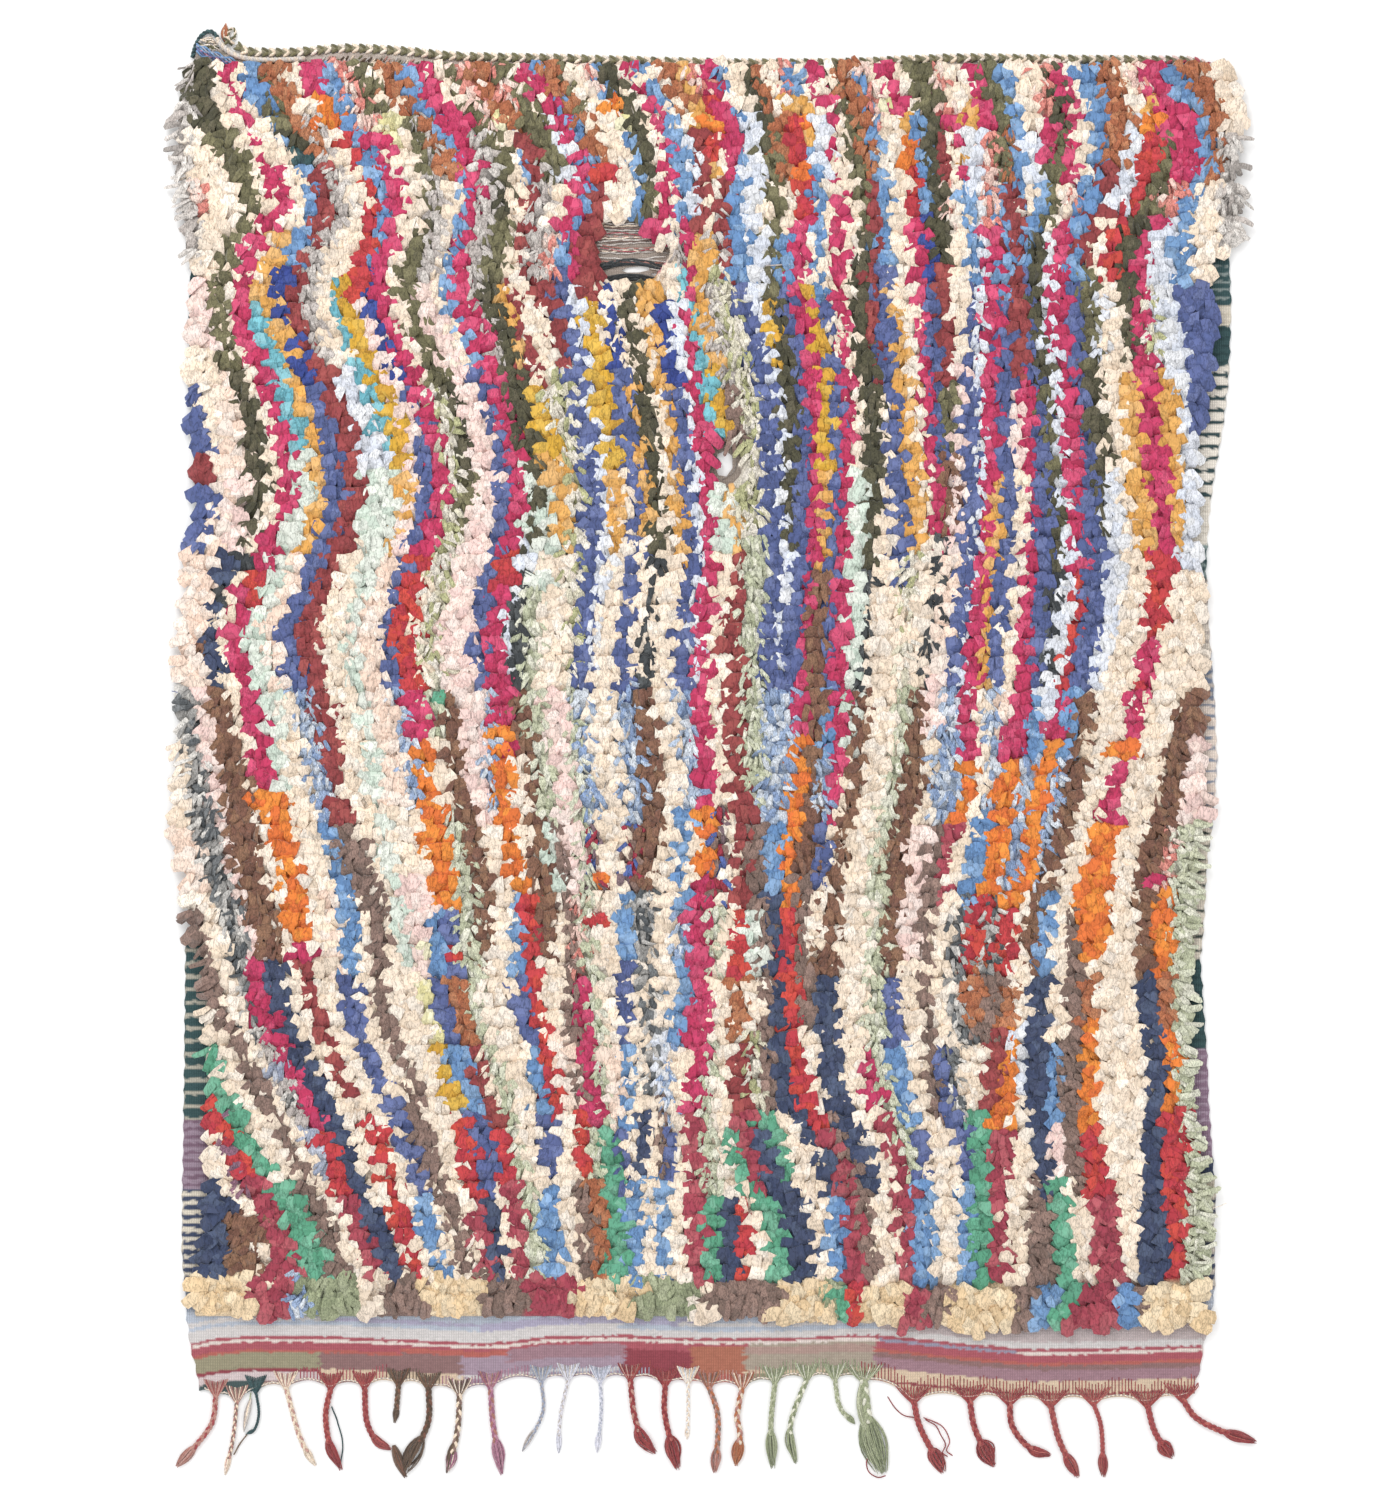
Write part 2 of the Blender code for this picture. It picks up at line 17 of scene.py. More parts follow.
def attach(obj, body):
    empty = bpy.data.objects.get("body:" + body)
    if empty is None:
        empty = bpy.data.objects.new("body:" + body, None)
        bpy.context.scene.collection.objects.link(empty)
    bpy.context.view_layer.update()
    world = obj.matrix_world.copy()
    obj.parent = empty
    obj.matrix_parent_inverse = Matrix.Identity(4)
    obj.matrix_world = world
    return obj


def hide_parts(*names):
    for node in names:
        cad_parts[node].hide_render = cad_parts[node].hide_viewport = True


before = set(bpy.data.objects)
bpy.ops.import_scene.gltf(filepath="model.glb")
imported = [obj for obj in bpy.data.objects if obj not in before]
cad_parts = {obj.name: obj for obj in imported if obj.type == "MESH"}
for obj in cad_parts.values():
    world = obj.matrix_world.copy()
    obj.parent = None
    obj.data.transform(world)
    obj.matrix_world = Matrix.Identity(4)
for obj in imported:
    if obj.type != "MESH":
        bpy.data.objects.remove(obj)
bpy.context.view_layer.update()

bl_info = {
    "name": "Boucherouite rug",
    "version": (1, 0, 0),
    "blender": (4, 5, 0),
    "location": "3D View > Sidebar > Rug",
    "description": "Knots, weaves and fringes a rag-pile rug over its packed frame",
    "category": "Add Mesh",
}

# The cartoon: its scale, and the cartoon point that lies on the frame's origin
CARTOON_UNIT = 0.00155
CARTOON_MIDDLE = (716.0, 752.0)
# The photograph's frame in cartoon units: its middle and its height
PICTURE_MIDDLE = (691.5, 750.0)
PICTURE_HEIGHT = 1500.0

PILE_TOP = 59.0
PILE_END = 1322.0
BLOCK_TOP = 1275.0

# A side's rows: place down the rug, place of the rim, width of the bare selvedge, length of the rim's locks
Side = namedtuple("Side", "down edge bare lock")
LEFT_SIDE = (
    Side(66, 192, 0, 5),
    Side(87, 187, 0, 8),
    Side(112, 181, 0, 8),
    Side(140, 177, 0, 9),
    Side(170, 179, 0, 7),
    Side(215, 187, 0, 6),
    Side(240, 185, 0, 9),
    Side(268, 188, 12, 4),
    Side(370, 186, 9, 4),
    Side(406, 190, 8, 5),
    Side(473, 192, 8, 5),
    Side(502, 196, 8, 6),
    Side(536, 187, 6, 5),
    Side(600, 187, 4, 5),
    Side(690, 182, 0, 8),
    Side(760, 183, 0, 7),
    Side(810, 179, 0, 8),
    Side(862, 186, 0, 7),
    Side(930, 189, 4, 5),
    Side(946, 184, 22, 2),
    Side(1030, 183, 28, 2),
    Side(1116, 182, 31, 2),
    Side(1175, 181, 32, 2),
    Side(1245, 180, 29, 2),
    Side(1311, 184, 8, 2),
    Side(1347, 189, 0, 1),
    Side(1363, 193, 0, 1),
    Side(1385, 198, 0, 1),
)
RIGHT_SIDE = (
    Side(76, 1226, 0, 5),
    Side(89, 1235, 0, 7),
    Side(118, 1238, 0, 7),
    Side(146, 1236, 0, 7),
    Side(204, 1238, 0, 8),
    Side(240, 1237, 0, 8),
    Side(256, 1231, 24, 3),
    Side(307, 1233, 20, 2),
    Side(383, 1230, 28, 2),
    Side(424, 1225, 32, 2),
    Side(468, 1217, 26, 2),
    Side(495, 1213, 22, 2),
    Side(536, 1209, 14, 2),
    Side(577, 1208, 12, 2),
    Side(654, 1213, 14, 3),
    Side(713, 1217, 20, 2),
    Side(760, 1219, 22, 2),
    Side(826, 1214, 14, 2),
    Side(860, 1209, 14, 2),
    Side(932, 1205, 16, 2),
    Side(956, 1202, 18, 2),
    Side(1034, 1207, 16, 2),
    Side(1060, 1209, 22, 2),
    Side(1114, 1211, 20, 2),
    Side(1167, 1215, 14, 2),
    Side(1203, 1218, 10, 3),
    Side(1226, 1216, 12, 2),
    Side(1284, 1217, 18, 2),
    Side(1320, 1213, 4, 2),
    Side(1345, 1205, 0, 1),
    Side(1368, 1202, 0, 1),
    Side(1388, 1195, 0, 1),
)

# The braid's middle line
BRAID_LINE = (
    (236.5, 44.5),
    (242, 48),
    (250, 50.5),
    (293, 51),
    (344, 47),
    (405, 50),
    (456, 55),
    (551, 57),
    (653, 60),
    (755, 62),
    (857, 61),
    (955, 57),
    (1059, 58),
    (1164, 59),
    (1193, 60),
    (1210, 66),
    (1224, 73),
)
TOP_LEFT_CORNER = ((192, 62), (196, 52), (205, 46.5), (219, 47.8), (233, 50.8), (241, 54.6))

# Worn-through places in the cloth, with their turn in degrees, and places where the pile is worn off
Hole = namedtuple("Hole", "x y half_length half_width turn")
WORN_HOLES = (
    Hole(724, 463, 14, 9.5, 96),
    Hole(636, 268.5, 15, 3.4, -4),
    Hole(656, 273, 6, 1.6, -4),
)
Thin = namedtuple("Thin", "x y half_width half_length")
THIN_PLACES = (Thin(628, 249, 44, 37), Thin(724, 461, 19, 29))

# Tassels: half widths of cord and tuft, the tuft's share of the length, the route below the root, and the
# colours of the cord's plies and of its tuft
Tassel = namedtuple("Tassel", "root_x root_y cord tuft tuft_share route plies brush")
TASSELS = (
    Tassel(215, 1396, 3.0, 5.0, 0.34, ((211, 1424), (193, 1449), (176, 1468)), "dustypink rose dustypink",
        "dustypink"),
    Tassel(236, 1402, 2.2, 2.8, 0.30, ((232, 1440), (224, 1476)), "dustypink taupe cream", "cream"),
    Tassel(255, 1392, 1.6, 1.6, 0.20, ((258, 1414), (254, 1430), (245, 1436)), "teal teal teal", "teal"),
    Tassel(285, 1388, 2.8, 3.6, 0.25, ((297, 1432), (307, 1455), (315, 1467)), "cream dustypink cream",
        "cream"),
    Tassel(330, 1389, 3.2, 5.5, 0.40, ((325, 1416), (329, 1446), (340, 1471)), "garnet rose garnet",
        "garnet"),
    Tassel(364, 1388, 3.2, 4.0, 0.35, ((366, 1422), (376, 1442), (390, 1450)), "rose rose garnet", "rose"),
    Tassel(398, 1385, 3.0, 3.0, 0.40, ((396, 1408), (394, 1424)), "cocoa cocoa brown", "cocoa"),
    Tassel(428, 1389, 3.4, 9.0, 0.45, ((428, 1421), (417, 1448), (404, 1473)), "cocoa brown cocoa", "cocoa"),
    Tassel(459, 1395, 3.2, 5.5, 0.30, ((457, 1431), (448, 1472)), "cream cocoa taupe", "orchid"),
    Tassel(490, 1388, 3.2, 6.0, 0.42, ((493, 1428), (502, 1475)), "orchid dustypink orchid", "orchid"),
    Tassel(541, 1382, 2.0, 3.2, 0.35, ((542, 1415), (522, 1453)), "slate grey slate", "grey"),
    Tassel(568, 1380, 2.0, 2.8, 0.30, ((560, 1418), (558, 1454)), "lilac grey lilac", "lilac"),
    Tassel(600, 1382, 2.0, 2.8, 0.30, ((601, 1413), (597, 1454)), "lilac slate lilac", "lilac"),
    Tassel(630, 1380, 3.2, 7.5, 0.40, ((634, 1416), (642, 1438), (655, 1454)), "garnet dustypink garnet",
        "garnet"),
    Tassel(665, 1386, 3.2, 7.5, 0.40, ((665, 1418), (678, 1470)), "garnet garnet rose", "garnet"),
    Tassel(688, 1383, 1.9, 2.0, 0.20, ((688, 1414), (687, 1441)), "cream white cream", "cream"),
    Tassel(709, 1388, 3.0, 5.0, 0.30, ((718, 1420), (715, 1474)), "dustypink taupe rust", "dustypink"),
    Tassel(742, 1389, 3.2, 6.0, 0.35, ((737, 1418), (740, 1436), (735, 1467)), "rust dustypink cream",
        "rust"),
    Tassel(775, 1383, 3.0, 6.0, 0.45, ((771, 1426), (773, 1469)), "fern sage fern", "fern"),
    Tassel(807, 1380, 3.0, 5.0, 0.40, ((793, 1416), (790, 1440), (795, 1464)), "fern sage fern", "fern"),
    Tassel(835, 1380, 2.6, 2.8, 0.25, ((840, 1408), (855, 1425)), "fern fern sage", "fern"),
    Tassel(864, 1381, 4.4, 14.0, 0.62, ((870, 1426), (884, 1473)), "fern fern sage", "fern"),
    Tassel(914, 1402, 3.4, 7.0, 0.35, ((921, 1430), (944, 1473)), "rose rose garnet", "garnet"),
    Tassel(970, 1401, 3.4, 9.5, 0.40, ((976, 1432), (995, 1467)), "rose rose garnet", "garnet"),
    Tassel(1010, 1404, 3.4, 5.5, 0.34, ((1013, 1428), (1030, 1449), (1051, 1456)), "rose rose garnet",
        "garnet"),
    Tassel(1051, 1406, 3.4, 6.0, 0.36, ((1060, 1442), (1078, 1478)), "rose rose rose", "garnet"),
    Tassel(1094, 1404, 2.6, 4.4, 0.34, ((1102, 1430), (1104, 1478)), "rose rose rose", "garnet"),
    Tassel(1148, 1406, 3.4, 7.5, 0.36, ((1156, 1434), (1173, 1459)), "rose rose garnet", "garnet"),
    Tassel(1183, 1400, 3.4, 5.5, 0.38, ((1197, 1419), (1224, 1433), (1257, 1443)), "rose rose garnet",
        "garnet"),
)

# The middle line of the corner tie's loop of cord
TIE_LOOP = ((191.5, 56), (195, 44), (201, 34), (209, 30), (215, 34), (219, 41), (222, 44.5))

# Rags and yarns: the way each is cut and its shades
Rag = namedtuple("Rag", "cut shades")
RAGS = {
    "cream": Rag("cotton", ("#F0E0CE", "#EEDCC8", "#F2E6D8", "#EBD8C2")),
    "white": Rag("cotton", ("#DBDEE6", "#D4D9E4", "#E0E1E4")),
    "peach": Rag("cotton", ("#F0DACA", "#EED3C1", "#F1E1D5")),
    "blush": Rag("cotton", ("#EFD6CC", "#EBCDC6", "#F1DED6")),
    "butter": Rag("cotton", ("#E5CDAA", "#E2C69E", "#E9D5B5")),
    "mint": Rag("cotton", ("#D8DFD4", "#E0E4DA", "#C8D5C8")),
    "lilac": Rag("cotton", ("#DCDCE6", "#D0D2E0", "#E4E2EA")),
    "sky": Rag("jersey", ("#7093BC", "#6589B6", "#85A5CA")),
    "turquoise": Rag("jersey", ("#73B3BF", "#68A8B6", "#88BFC9")),
    "periwinkle": Rag("jersey", ("#5A6594", "#515D8B", "#67729F")),
    "royal": Rag("jersey", ("#36468A", "#3F4F92")),
    "navy": Rag("jersey", ("#434C67", "#3B4561", "#4E5973")),
    "raspberry": Rag("jersey", ("#BE3D64", "#B6355A", "#CA4F72")),
    "red": Rag("jersey", ("#BE4145", "#C44940", "#B33A45")),
    "orange": Rag("jersey", ("#DF7D38", "#E28A3C", "#D87038")),
    "amber": Rag("jersey", ("#D9A45C", "#D59D52", "#DDAE70")),
    "mustard": Rag("jersey", ("#CFA23A", "#CB9C3E", "#D4AC4C")),
    "lemon": Rag("jersey", ("#E4DDB0", "#DDD59E", "#E9E3C2")),
    "green": Rag("jersey", ("#62A386", "#58997B", "#74AF93")),
    "maroon": Rag("jersey", ("#A64956", "#9B3F4F", "#B05962")),
    "rust": Rag("wool", ("#AF6D4C", "#B67A58", "#A66446")),
    "brick": Rag("jersey", ("#934446", "#9C4D4B", "#8A3D3F")),
    "olive": Rag("wool", ("#716D50", "#7C7759", "#646048")),
    "moss": Rag("wool", ("#56533F", "#605B48", "#4C4A39")),
    "brown": Rag("wool", ("#835F4D", "#8B6852", "#795547")),
    "taupe": Rag("wool", ("#8A7269", "#947A70", "#7E6960")),
    "mauve": Rag("wool", ("#8C6678", "#7F6577", "#9A7384")),
    "fern": Rag("wool", ("#9CA383", "#8F9778", "#A9AF90")),
    "slate": Rag("wool", ("#A9AFC0", "#9AA2B6", "#B9BECB")),
    "teal": Rag("wool", ("#3A5557", "#33494C", "#456063")),
    "grey": Rag("fleck", ("#C4BCB7", "#B8AFAA", "#D0C9C3")),
    "greyfleck": Rag("fleck", ("#C0B7B1", "#D0C9C3", "#A39C97", "#DCD6D0")),
    "bluefleck": Rag("fleck", ("#B2C0D4", "#9AADCB", "#D4DAE2", "#8A9FC2")),
    "sage": Rag("fleck", ("#D0D2BC", "#DCDBCA", "#BCC0A4", "#C8CAB0")),
    "print": Rag("fleck", ("#E2DBCC", "#E8E1D5", "#B5B58A", "#DAD4BE")),
    "pepper": Rag("fleck", ("#75787A", "#BDBAB6", "#DAD6D0", "#5A5E61", "#9A9895")),
    "rose": Rag("wool", ("#A65654", "#A04E50", "#B0625C")),
    "garnet": Rag("wool", ("#9A4446", "#903C40", "#A44E4C")),
    "dustypink": Rag("wool", ("#B98A80", "#AE7A70", "#C49A90")),
    "orchid": Rag("wool", ("#AE7A90", "#A26C84", "#BA8A9C")),
    "cocoa": Rag("wool", ("#655244", "#5A483C", "#705D4E")),
    "charcoal": Rag("wool", ("#45484A", "#3B3F42", "#565A5C")),
    "marl": Rag("fleck", ("#7F6A70", "#A23C4C", "#5A6CA8", "#8A7168")),
    "coral": Rag("fleck", ("#DE9488", "#EFD8CC", "#D6867C", "#EBC8BC")),
}

# How each cut of rag makes its tufts: its wide under strips and its narrower upper strips, their widths in
# shares of the knot's, their length in shares of the row's pitch, their spread and twist in degrees, and how
# high they are folded
Cut = namedtuple("Cut", "under upper under_width upper_width length fan roll fold")
CUTS = {
    "cotton": Cut(1, 4, 1.45, 1.16, 1.28, 26, 11, 0.07),
    "jersey": Cut(1, 4, 1.40, 1.08, 1.34, 17, 10, 0.07),
    "wool": Cut(1, 5, 1.30, 0.74, 1.28, 28, 16, 0.12),
    "fleck": Cut(1, 6, 1.25, 0.52, 1.20, 42, 22, 0.16),
}
STRIP_RINGS = 3

# Guide lines: where the rims and some easily followed stripes run, at these places down the rug
GUIDE_DOWN = (65, 110, 160, 200, 240, 280, 340, 420, 490, 560, 630, 700, 800, 900, 1000, 1100, 1200, 1270)
GUIDES = (
    (192, 181, 177, 185, 184, 187, 186, 190, 195, 184, 184, 181, 178, 185, 182, 181, 180, 181),
    (230, 240, 264, 275, 262, 252, 270, 287, 303, 278, 244, 255, 276, 298, 316, 360, 395, 424),
    (345, 362, 383, 396, 396, 382, 400, 427, 437, 418, 401, 416, 431, 452, 455, 486, 514, 520),
    (427, 451, 466, 471, 467, 459, 483, 505, 516, 504, 492, 502, 508, 529, 534, 555, 570, 580),
    (536, 562, 580, 580, 562, 565, 575, 584, 591, 591, 585, 577, 588, 590, 595, 597, 600, 600),
    (640, 665, 668, 666, 660, 673, 686, 700, 706, 712, 701, 705, 705, 701, 703, 691, 688, 690),
    (790, 800, 799, 804, 796, 790, 804, 814, 811, 812, 804, 798, 791, 787, 789, 799, 843, 850),
    (890, 906, 913, 917, 918, 919, 923, 925, 935, 933, 926, 921, 905, 893, 892, 903, 920, 925),
    (970, 985, 987, 989, 992, 990, 989, 990, 986, 977, 970, 971, 967, 960, 956, 961, 970, 975),
    (1064, 1075, 1066, 1074, 1058, 1060, 1063, 1072, 1073, 1073, 1067, 1056, 1035, 1019, 1008, 1003, 1008,
        1012),
    (1157, 1183, 1192, 1178, 1143, 1142, 1143, 1154, 1154, 1163, 1151, 1136, 1106, 1084, 1086, 1086, 1098,
        1103),
    (1225, 1240, 1238, 1240, 1237, 1231, 1232, 1225, 1213, 1208, 1212, 1217, 1216, 1207, 1206, 1210, 1218,
        1218),
)

# The stripes met from left to right at these places down the rug: each colour and its right edge
STRIPES = {
    85: """greyfleck 192 moss 217 cream 228 raspberry 240 cream 248 sky 262 olive 270 rust 293 cream 306
        raspberry 327 sky 340 coral 363 olive 378 cream 385 rust 408 sky 420 raspberry 442 cream 452
        olive 462 coral 480 rust 497 coral 507 olive 524 cream 529 raspberry 545 sky 548 rust 567 olive 578
        cream 590 coral 602 sky 609 moss 624 cream 636 raspberry 647 sky 655 cream 667 rust 684 amber 694
        coral 708 raspberry 724 sky 729 cream 746 moss 757 rust 769 cream 779 coral 790 sky 801 cream 813
        raspberry 826 cream 833 olive 839 rust 859 sky 864 coral 876 cream 884 raspberry 901 cream 912
        olive 936 coral 948 cream 970 raspberry 982 olive 999 sky 1013 cream 1036 coral 1049 moss 1058
        raspberry 1072 cream 1081 sky 1100 rust 1123 cream 1134 coral 1146 raspberry 1170 sky 1188 rust 1214
        cream 1239""",
    150: """greyfleck 190 cream 219 olive 247 cream 260 raspberry 268 cream 288 sky 293 moss 313 rust 323
        grey 336 cream 351 red 362 sky 377 raspberry 392 cream 415 olive 428 grey 438 rust 453 sky 459
        raspberry 476 greyfleck 494 olive 510 cream 518 sky 524 brick 538 olive 561 white 571 raspberry 584
        sky 591 rust 607 cream 630 sky 638 moss 653 cream 663 raspberry 676 sky 689 white 695 brick 707
        red 719 cream 727 raspberry 741 sky 747 white 760 olive 776 rust 790 red 806 sky 816 white 829
        raspberry 837 cream 847 olive 859 rust 871 sky 881 cream 904 amber 915 sky 925 moss 939 brick 948
        cream 956 raspberry 965 white 978 coral 996 olive 1007 rust 1012 sky 1023 white 1036 raspberry 1051
        olive 1064 raspberry 1075 cream 1090 sky 1104 rust 1125 white 1138 red 1159 olive 1172 raspberry 1198
        sky 1211 rust 1219 greyfleck 1238""",
    200: """greyfleck 195 coral 214 cream 246 olive 263 cream 275 raspberry 294 cream 308 sky 320 brick 333
        grey 353 cream 368 red 382 sky 390 raspberry 405 cream 425 olive 433 grey 446 cream 463 sky 467
        raspberry 478 grey 499 moss 512 cream 523 brick 533 grey 552 cream 570 raspberry 584 sky 590
        brick 608 cream 634 sky 643 olive 655 cream 661 raspberry 672 cream 677 sky 687 white 699 brick 708
        cream 716 brick 729 sky 742 white 759 cream 769 olive 786 cream 794 red 813 sky 823 cream 833
        raspberry 847 cream 859 olive 871 brick 880 sky 892 cream 907 red 921 sky 930 moss 947 coral 953
        cream 963 sky 972 white 982 coral 995 sky 1005 brick 1018 sky 1023 cream 1033 sky 1050 olive 1059
        cream 1069 coral 1078 sky 1095 brick 1110 white 1127 red 1138 olive 1162 coral 1176 sky 1194
        cream 1217 greyfleck 1242""",
    240: """greyfleck 204 cream 221 olive 240 cream 248 raspberry 266 cream 272 amber 289 sky 306 brick 315
        grey 333 cream 360 red 376 sky 382 raspberry 398 cream 408 olive 425 grey 443 cream 451 sky 457
        raspberry 470 grey 487 olive 509 cream 516 brick 523 grey 546 coral 558 sky 567 raspberry 575
        brick 588 grey 620 moss 640 raspberry 664 cream 675 grey 682 raspberry 694 amber 710 grey 722
        brick 730 sky 750 white 767 olive 777 sky 790 raspberry 804 cream 813 sky 823 cream 834
        raspberry 849 cream 859 moss 870 brick 879 sky 890 cream 909 raspberry 925 royal 934 moss 948
        cream 968 sky 977 white 985 raspberry 1000 sky 1010 brick 1023 sky 1028 moss 1041 white 1050
        raspberry 1064 sky 1077 brick 1091 cream 1102 red 1115 moss 1135 raspberry 1148 white 1169 sky 1186
        cream 1222 greyfleck 1237""",
    320: """blush 212 olive 227 cream 234 raspberry 252 turquoise 267 amber 282 royal 293 brick 304 grey 322
        cream 335 turquoise 346 mustard 360 blush 374 royal 383 raspberry 397 cream 409 olive 425 blush 445
        cream 451 sky 463 raspberry 483 grey 492 moss 506 amber 515 brick 523 cream 549 brick 563
        periwinkle 575 white 584 mustard 598 cream 607 royal 616 cream 621 moss 636 cream 646 amber 655
        royal 669 white 680 raspberry 690 turquoise 697 amber 708 grey 718 print 742 periwinkle 756
        white 764 mustard 775 moss 789 periwinkle 798 raspberry 811 mustard 822 periwinkle 830 cream 836
        raspberry 845 cream 851 moss 866 brick 876 periwinkle 890 amber 902 cream 916 raspberry 927
        periwinkle 937 brick 953 cream 967 periwinkle 975 white 982 raspberry 999 periwinkle 1011 brick 1025
        periwinkle 1031 moss 1043 white 1052 raspberry 1068 periwinkle 1078 olive 1095 white 1103 cream 1123
        moss 1133 raspberry 1144 print 1158 white 1180 periwinkle 1208""",
    420: """periwinkle 210 cream 226 peach 241 moss 264 cream 274 raspberry 288 turquoise 304 amber 315
        periwinkle 335 brick 355 white 375 turquoise 389 mustard 404 blush 416 periwinkle 424 raspberry 438
        print 456 moss 466 blush 489 periwinkle 500 raspberry 511 moss 532 mustard 551 print 576
        periwinkle 590 white 597 mustard 617 periwinkle 634 amber 640 moss 656 cream 664 amber 674
        periwinkle 688 white 693 raspberry 705 turquoise 718 mustard 729 taupe 741 print 762 periwinkle 777
        white 783 moss 798 periwinkle 808 raspberry 819 mustard 833 periwinkle 844 raspberry 855 cream 863
        moss 882 cream 889 periwinkle 901 amber 912 cream 921 raspberry 931 periwinkle 943 olive 955
        blush 963 periwinkle 976 white 983 raspberry 997 periwinkle 1011 blush 1021 raspberry 1035
        periwinkle 1044 olive 1055 white 1063 raspberry 1080 periwinkle 1088 moss 1106 cream 1124 amber 1140
        raspberry 1161 amber 1180 white 1190 periwinkle 1205""",
    500: """periwinkle 219 peach 230 blush 248 moss 266 cream 278 raspberry 295 mint 311 amber 325
        periwinkle 343 brick 360 mint 398 amber 410 blush 418 periwinkle 428 raspberry 445 print 460
        olive 474 blush 495 periwinkle 508 raspberry 524 mint 533 moss 543 mint 553 amber 569 print 584
        periwinkle 601 white 608 amber 623 cream 630 periwinkle 641 amber 651 moss 664 cream 673 amber 684
        periwinkle 694 white 701 raspberry 713 mint 727 amber 733 print 762 periwinkle 777 white 784
        moss 794 periwinkle 807 raspberry 819 amber 828 periwinkle 839 raspberry 847 mint 866 moss 880
        cream 888 periwinkle 909 amber 926 cream 932 raspberry 943 brown 953 blush 963 periwinkle 978
        white 981 raspberry 991 amber 1002 periwinkle 1017 cream 1027 raspberry 1034 periwinkle 1051
        moss 1060 white 1068 raspberry 1081 periwinkle 1099 moss 1103 white 1119 cream 1128 amber 1150
        raspberry 1171 amber 1182 white 1192""",
    610: """peach 211 navy 221 cream 230 raspberry 249 mint 268 peach 283 periwinkle 301 brick 323
        cream 348 mint 360 peach 384 periwinkle 394 red 417 cream 424 print 443 blush 473 periwinkle 485
        raspberry 503 white 510 charcoal 521 sage 541 cream 567 print 579 periwinkle 594 white 599
        cream 618 periwinkle 632 cream 646 charcoal 653 cream 677 periwinkle 692 white 699 raspberry 713
        cream 728 brick 740 sage 764 periwinkle 778 white 787 periwinkle 801 raspberry 810 brown 824
        periwinkle 831 raspberry 847 mint 862 charcoal 867 cream 900 print 913 cream 929 charcoal 939
        peach 951 periwinkle 965 white 970 raspberry 984 amber 991 periwinkle 1004 cream 1022
        raspberry 1032 periwinkle 1047 charcoal 1057 white 1070 red 1081 periwinkle 1102 white 1118
        cream 1141 red 1164 cream 1191""",
    700: """pepper 197 blush 210 brown 233 cream 241 raspberry 263 mint 282 cream 292 bluefleck 314 brick 334
        cream 355 mint 369 peach 391 bluefleck 407 raspberry 424 sage 442 brown 458 blush 483 bluefleck 491
        raspberry 512 brown 525 sage 543 blush 565 sage 574 bluefleck 588 cream 615 bluefleck 634
        brown 654 cream 673
        bluefleck 692 raspberry 711 cream 723 brick 741 sage 762 bluefleck 795 raspberry 806 brown 823
        sky 833 raspberry 846 mint 855 brown 870 cream 894 sage 911 brown 923 blush 939 bluefleck 955
        white 963 raspberry 974 cream 984 bluefleck 998 peach 1009 raspberry 1029 sky 1037 white 1051
        raspberry 1063 sky 1075 brown 1093 cream 1127 raspberry 1148 cream 1176 brown 1199""",
    780: """cream 191 pepper 212 blush 223 brown 251 cream 258 raspberry 278 mint 288 cream 310 bluefleck 331
        brick 343 cream 367 mint 382 peach 408 bluefleck 421 orange 435 cream 450 brown 468 blush 485
        bluefleck 496 orange 514 cream 527 brown 538 sage 554 blush 571 sage 584 bluefleck 599 cream 621
        bluefleck 645 brown 664 cream 682 bluefleck 697 raspberry 716 cream 729 brick 743 sage 762
        bluefleck 790 orange 807 brown 815 bluefleck 829 raspberry 841 cream 847 brown 862 cream 888
        sage 900 brown 923 cream 929 bluefleck 962 orange 976 cream 986 bluefleck 998 orange 1017
        bluefleck 1035 orange 1051 bluefleck 1064 brown 1084 cream 1107 raspberry 1122 cream 1158
        brown 1181 blush 1193""",
    850: """peach 198 pepper 225 blush 231 brown 262 cream 275 orange 300 cream 329 sky 339 taupe 372
        cream 380 mint 392 cream 424 orange 454 sage 469 brown 489 cream 504 orange 521 cream 531
        brown 548 mint 556 taupe 567 blush 579 sage 590 marl 601 cream 622 marl 638 brown 659 cream 674
        sky 686 cream 697 orange 711 marl 728 cream 738 brick 747 taupe 766 sky 784 orange 792 brown 817
        periwinkle 829 cream 835 brown 847
        cream 870 sage 888 brown 906 blush 925 taupe 941 maroon 951 cream 966 sky 982 orange 1004
        bluefleck 1021 orange 1035 bluefleck 1045 brown 1064 cream 1085 orange 1115 cream 1134
        brown 1160 coral 1173 sage 1193""",
    930: """taupe 210 cream 223 pepper 248 blush 255 brown 281 cream 288 orange 312 cream 327 peach 339
        sky 360 cream 371 taupe 390 cream 397 mint 410 blush 432 sky 444 periwinkle 457 sage 477
        brown 492 cream 513 sky 525 red 538 brown 556 cream 567 taupe 575 coral 583 sage 595 cream 617
        sky 633 pepper 653 cream 673 bluefleck 688 raspberry 707 sage 721 cream 731 red 745
        mint 759 taupe 768 navy 782 red 797 taupe 805 cream 820 brown 839 cream 870 sage 885 brown 901
        blush 918 taupe 931 cream 947 pepper 965 red 982 pepper 996 red 1013 cream 1024 brown 1038
        sky 1050 cream 1065 taupe 1076 orange 1108 cream 1132 brown 1148 orange 1168 sage 1186""",
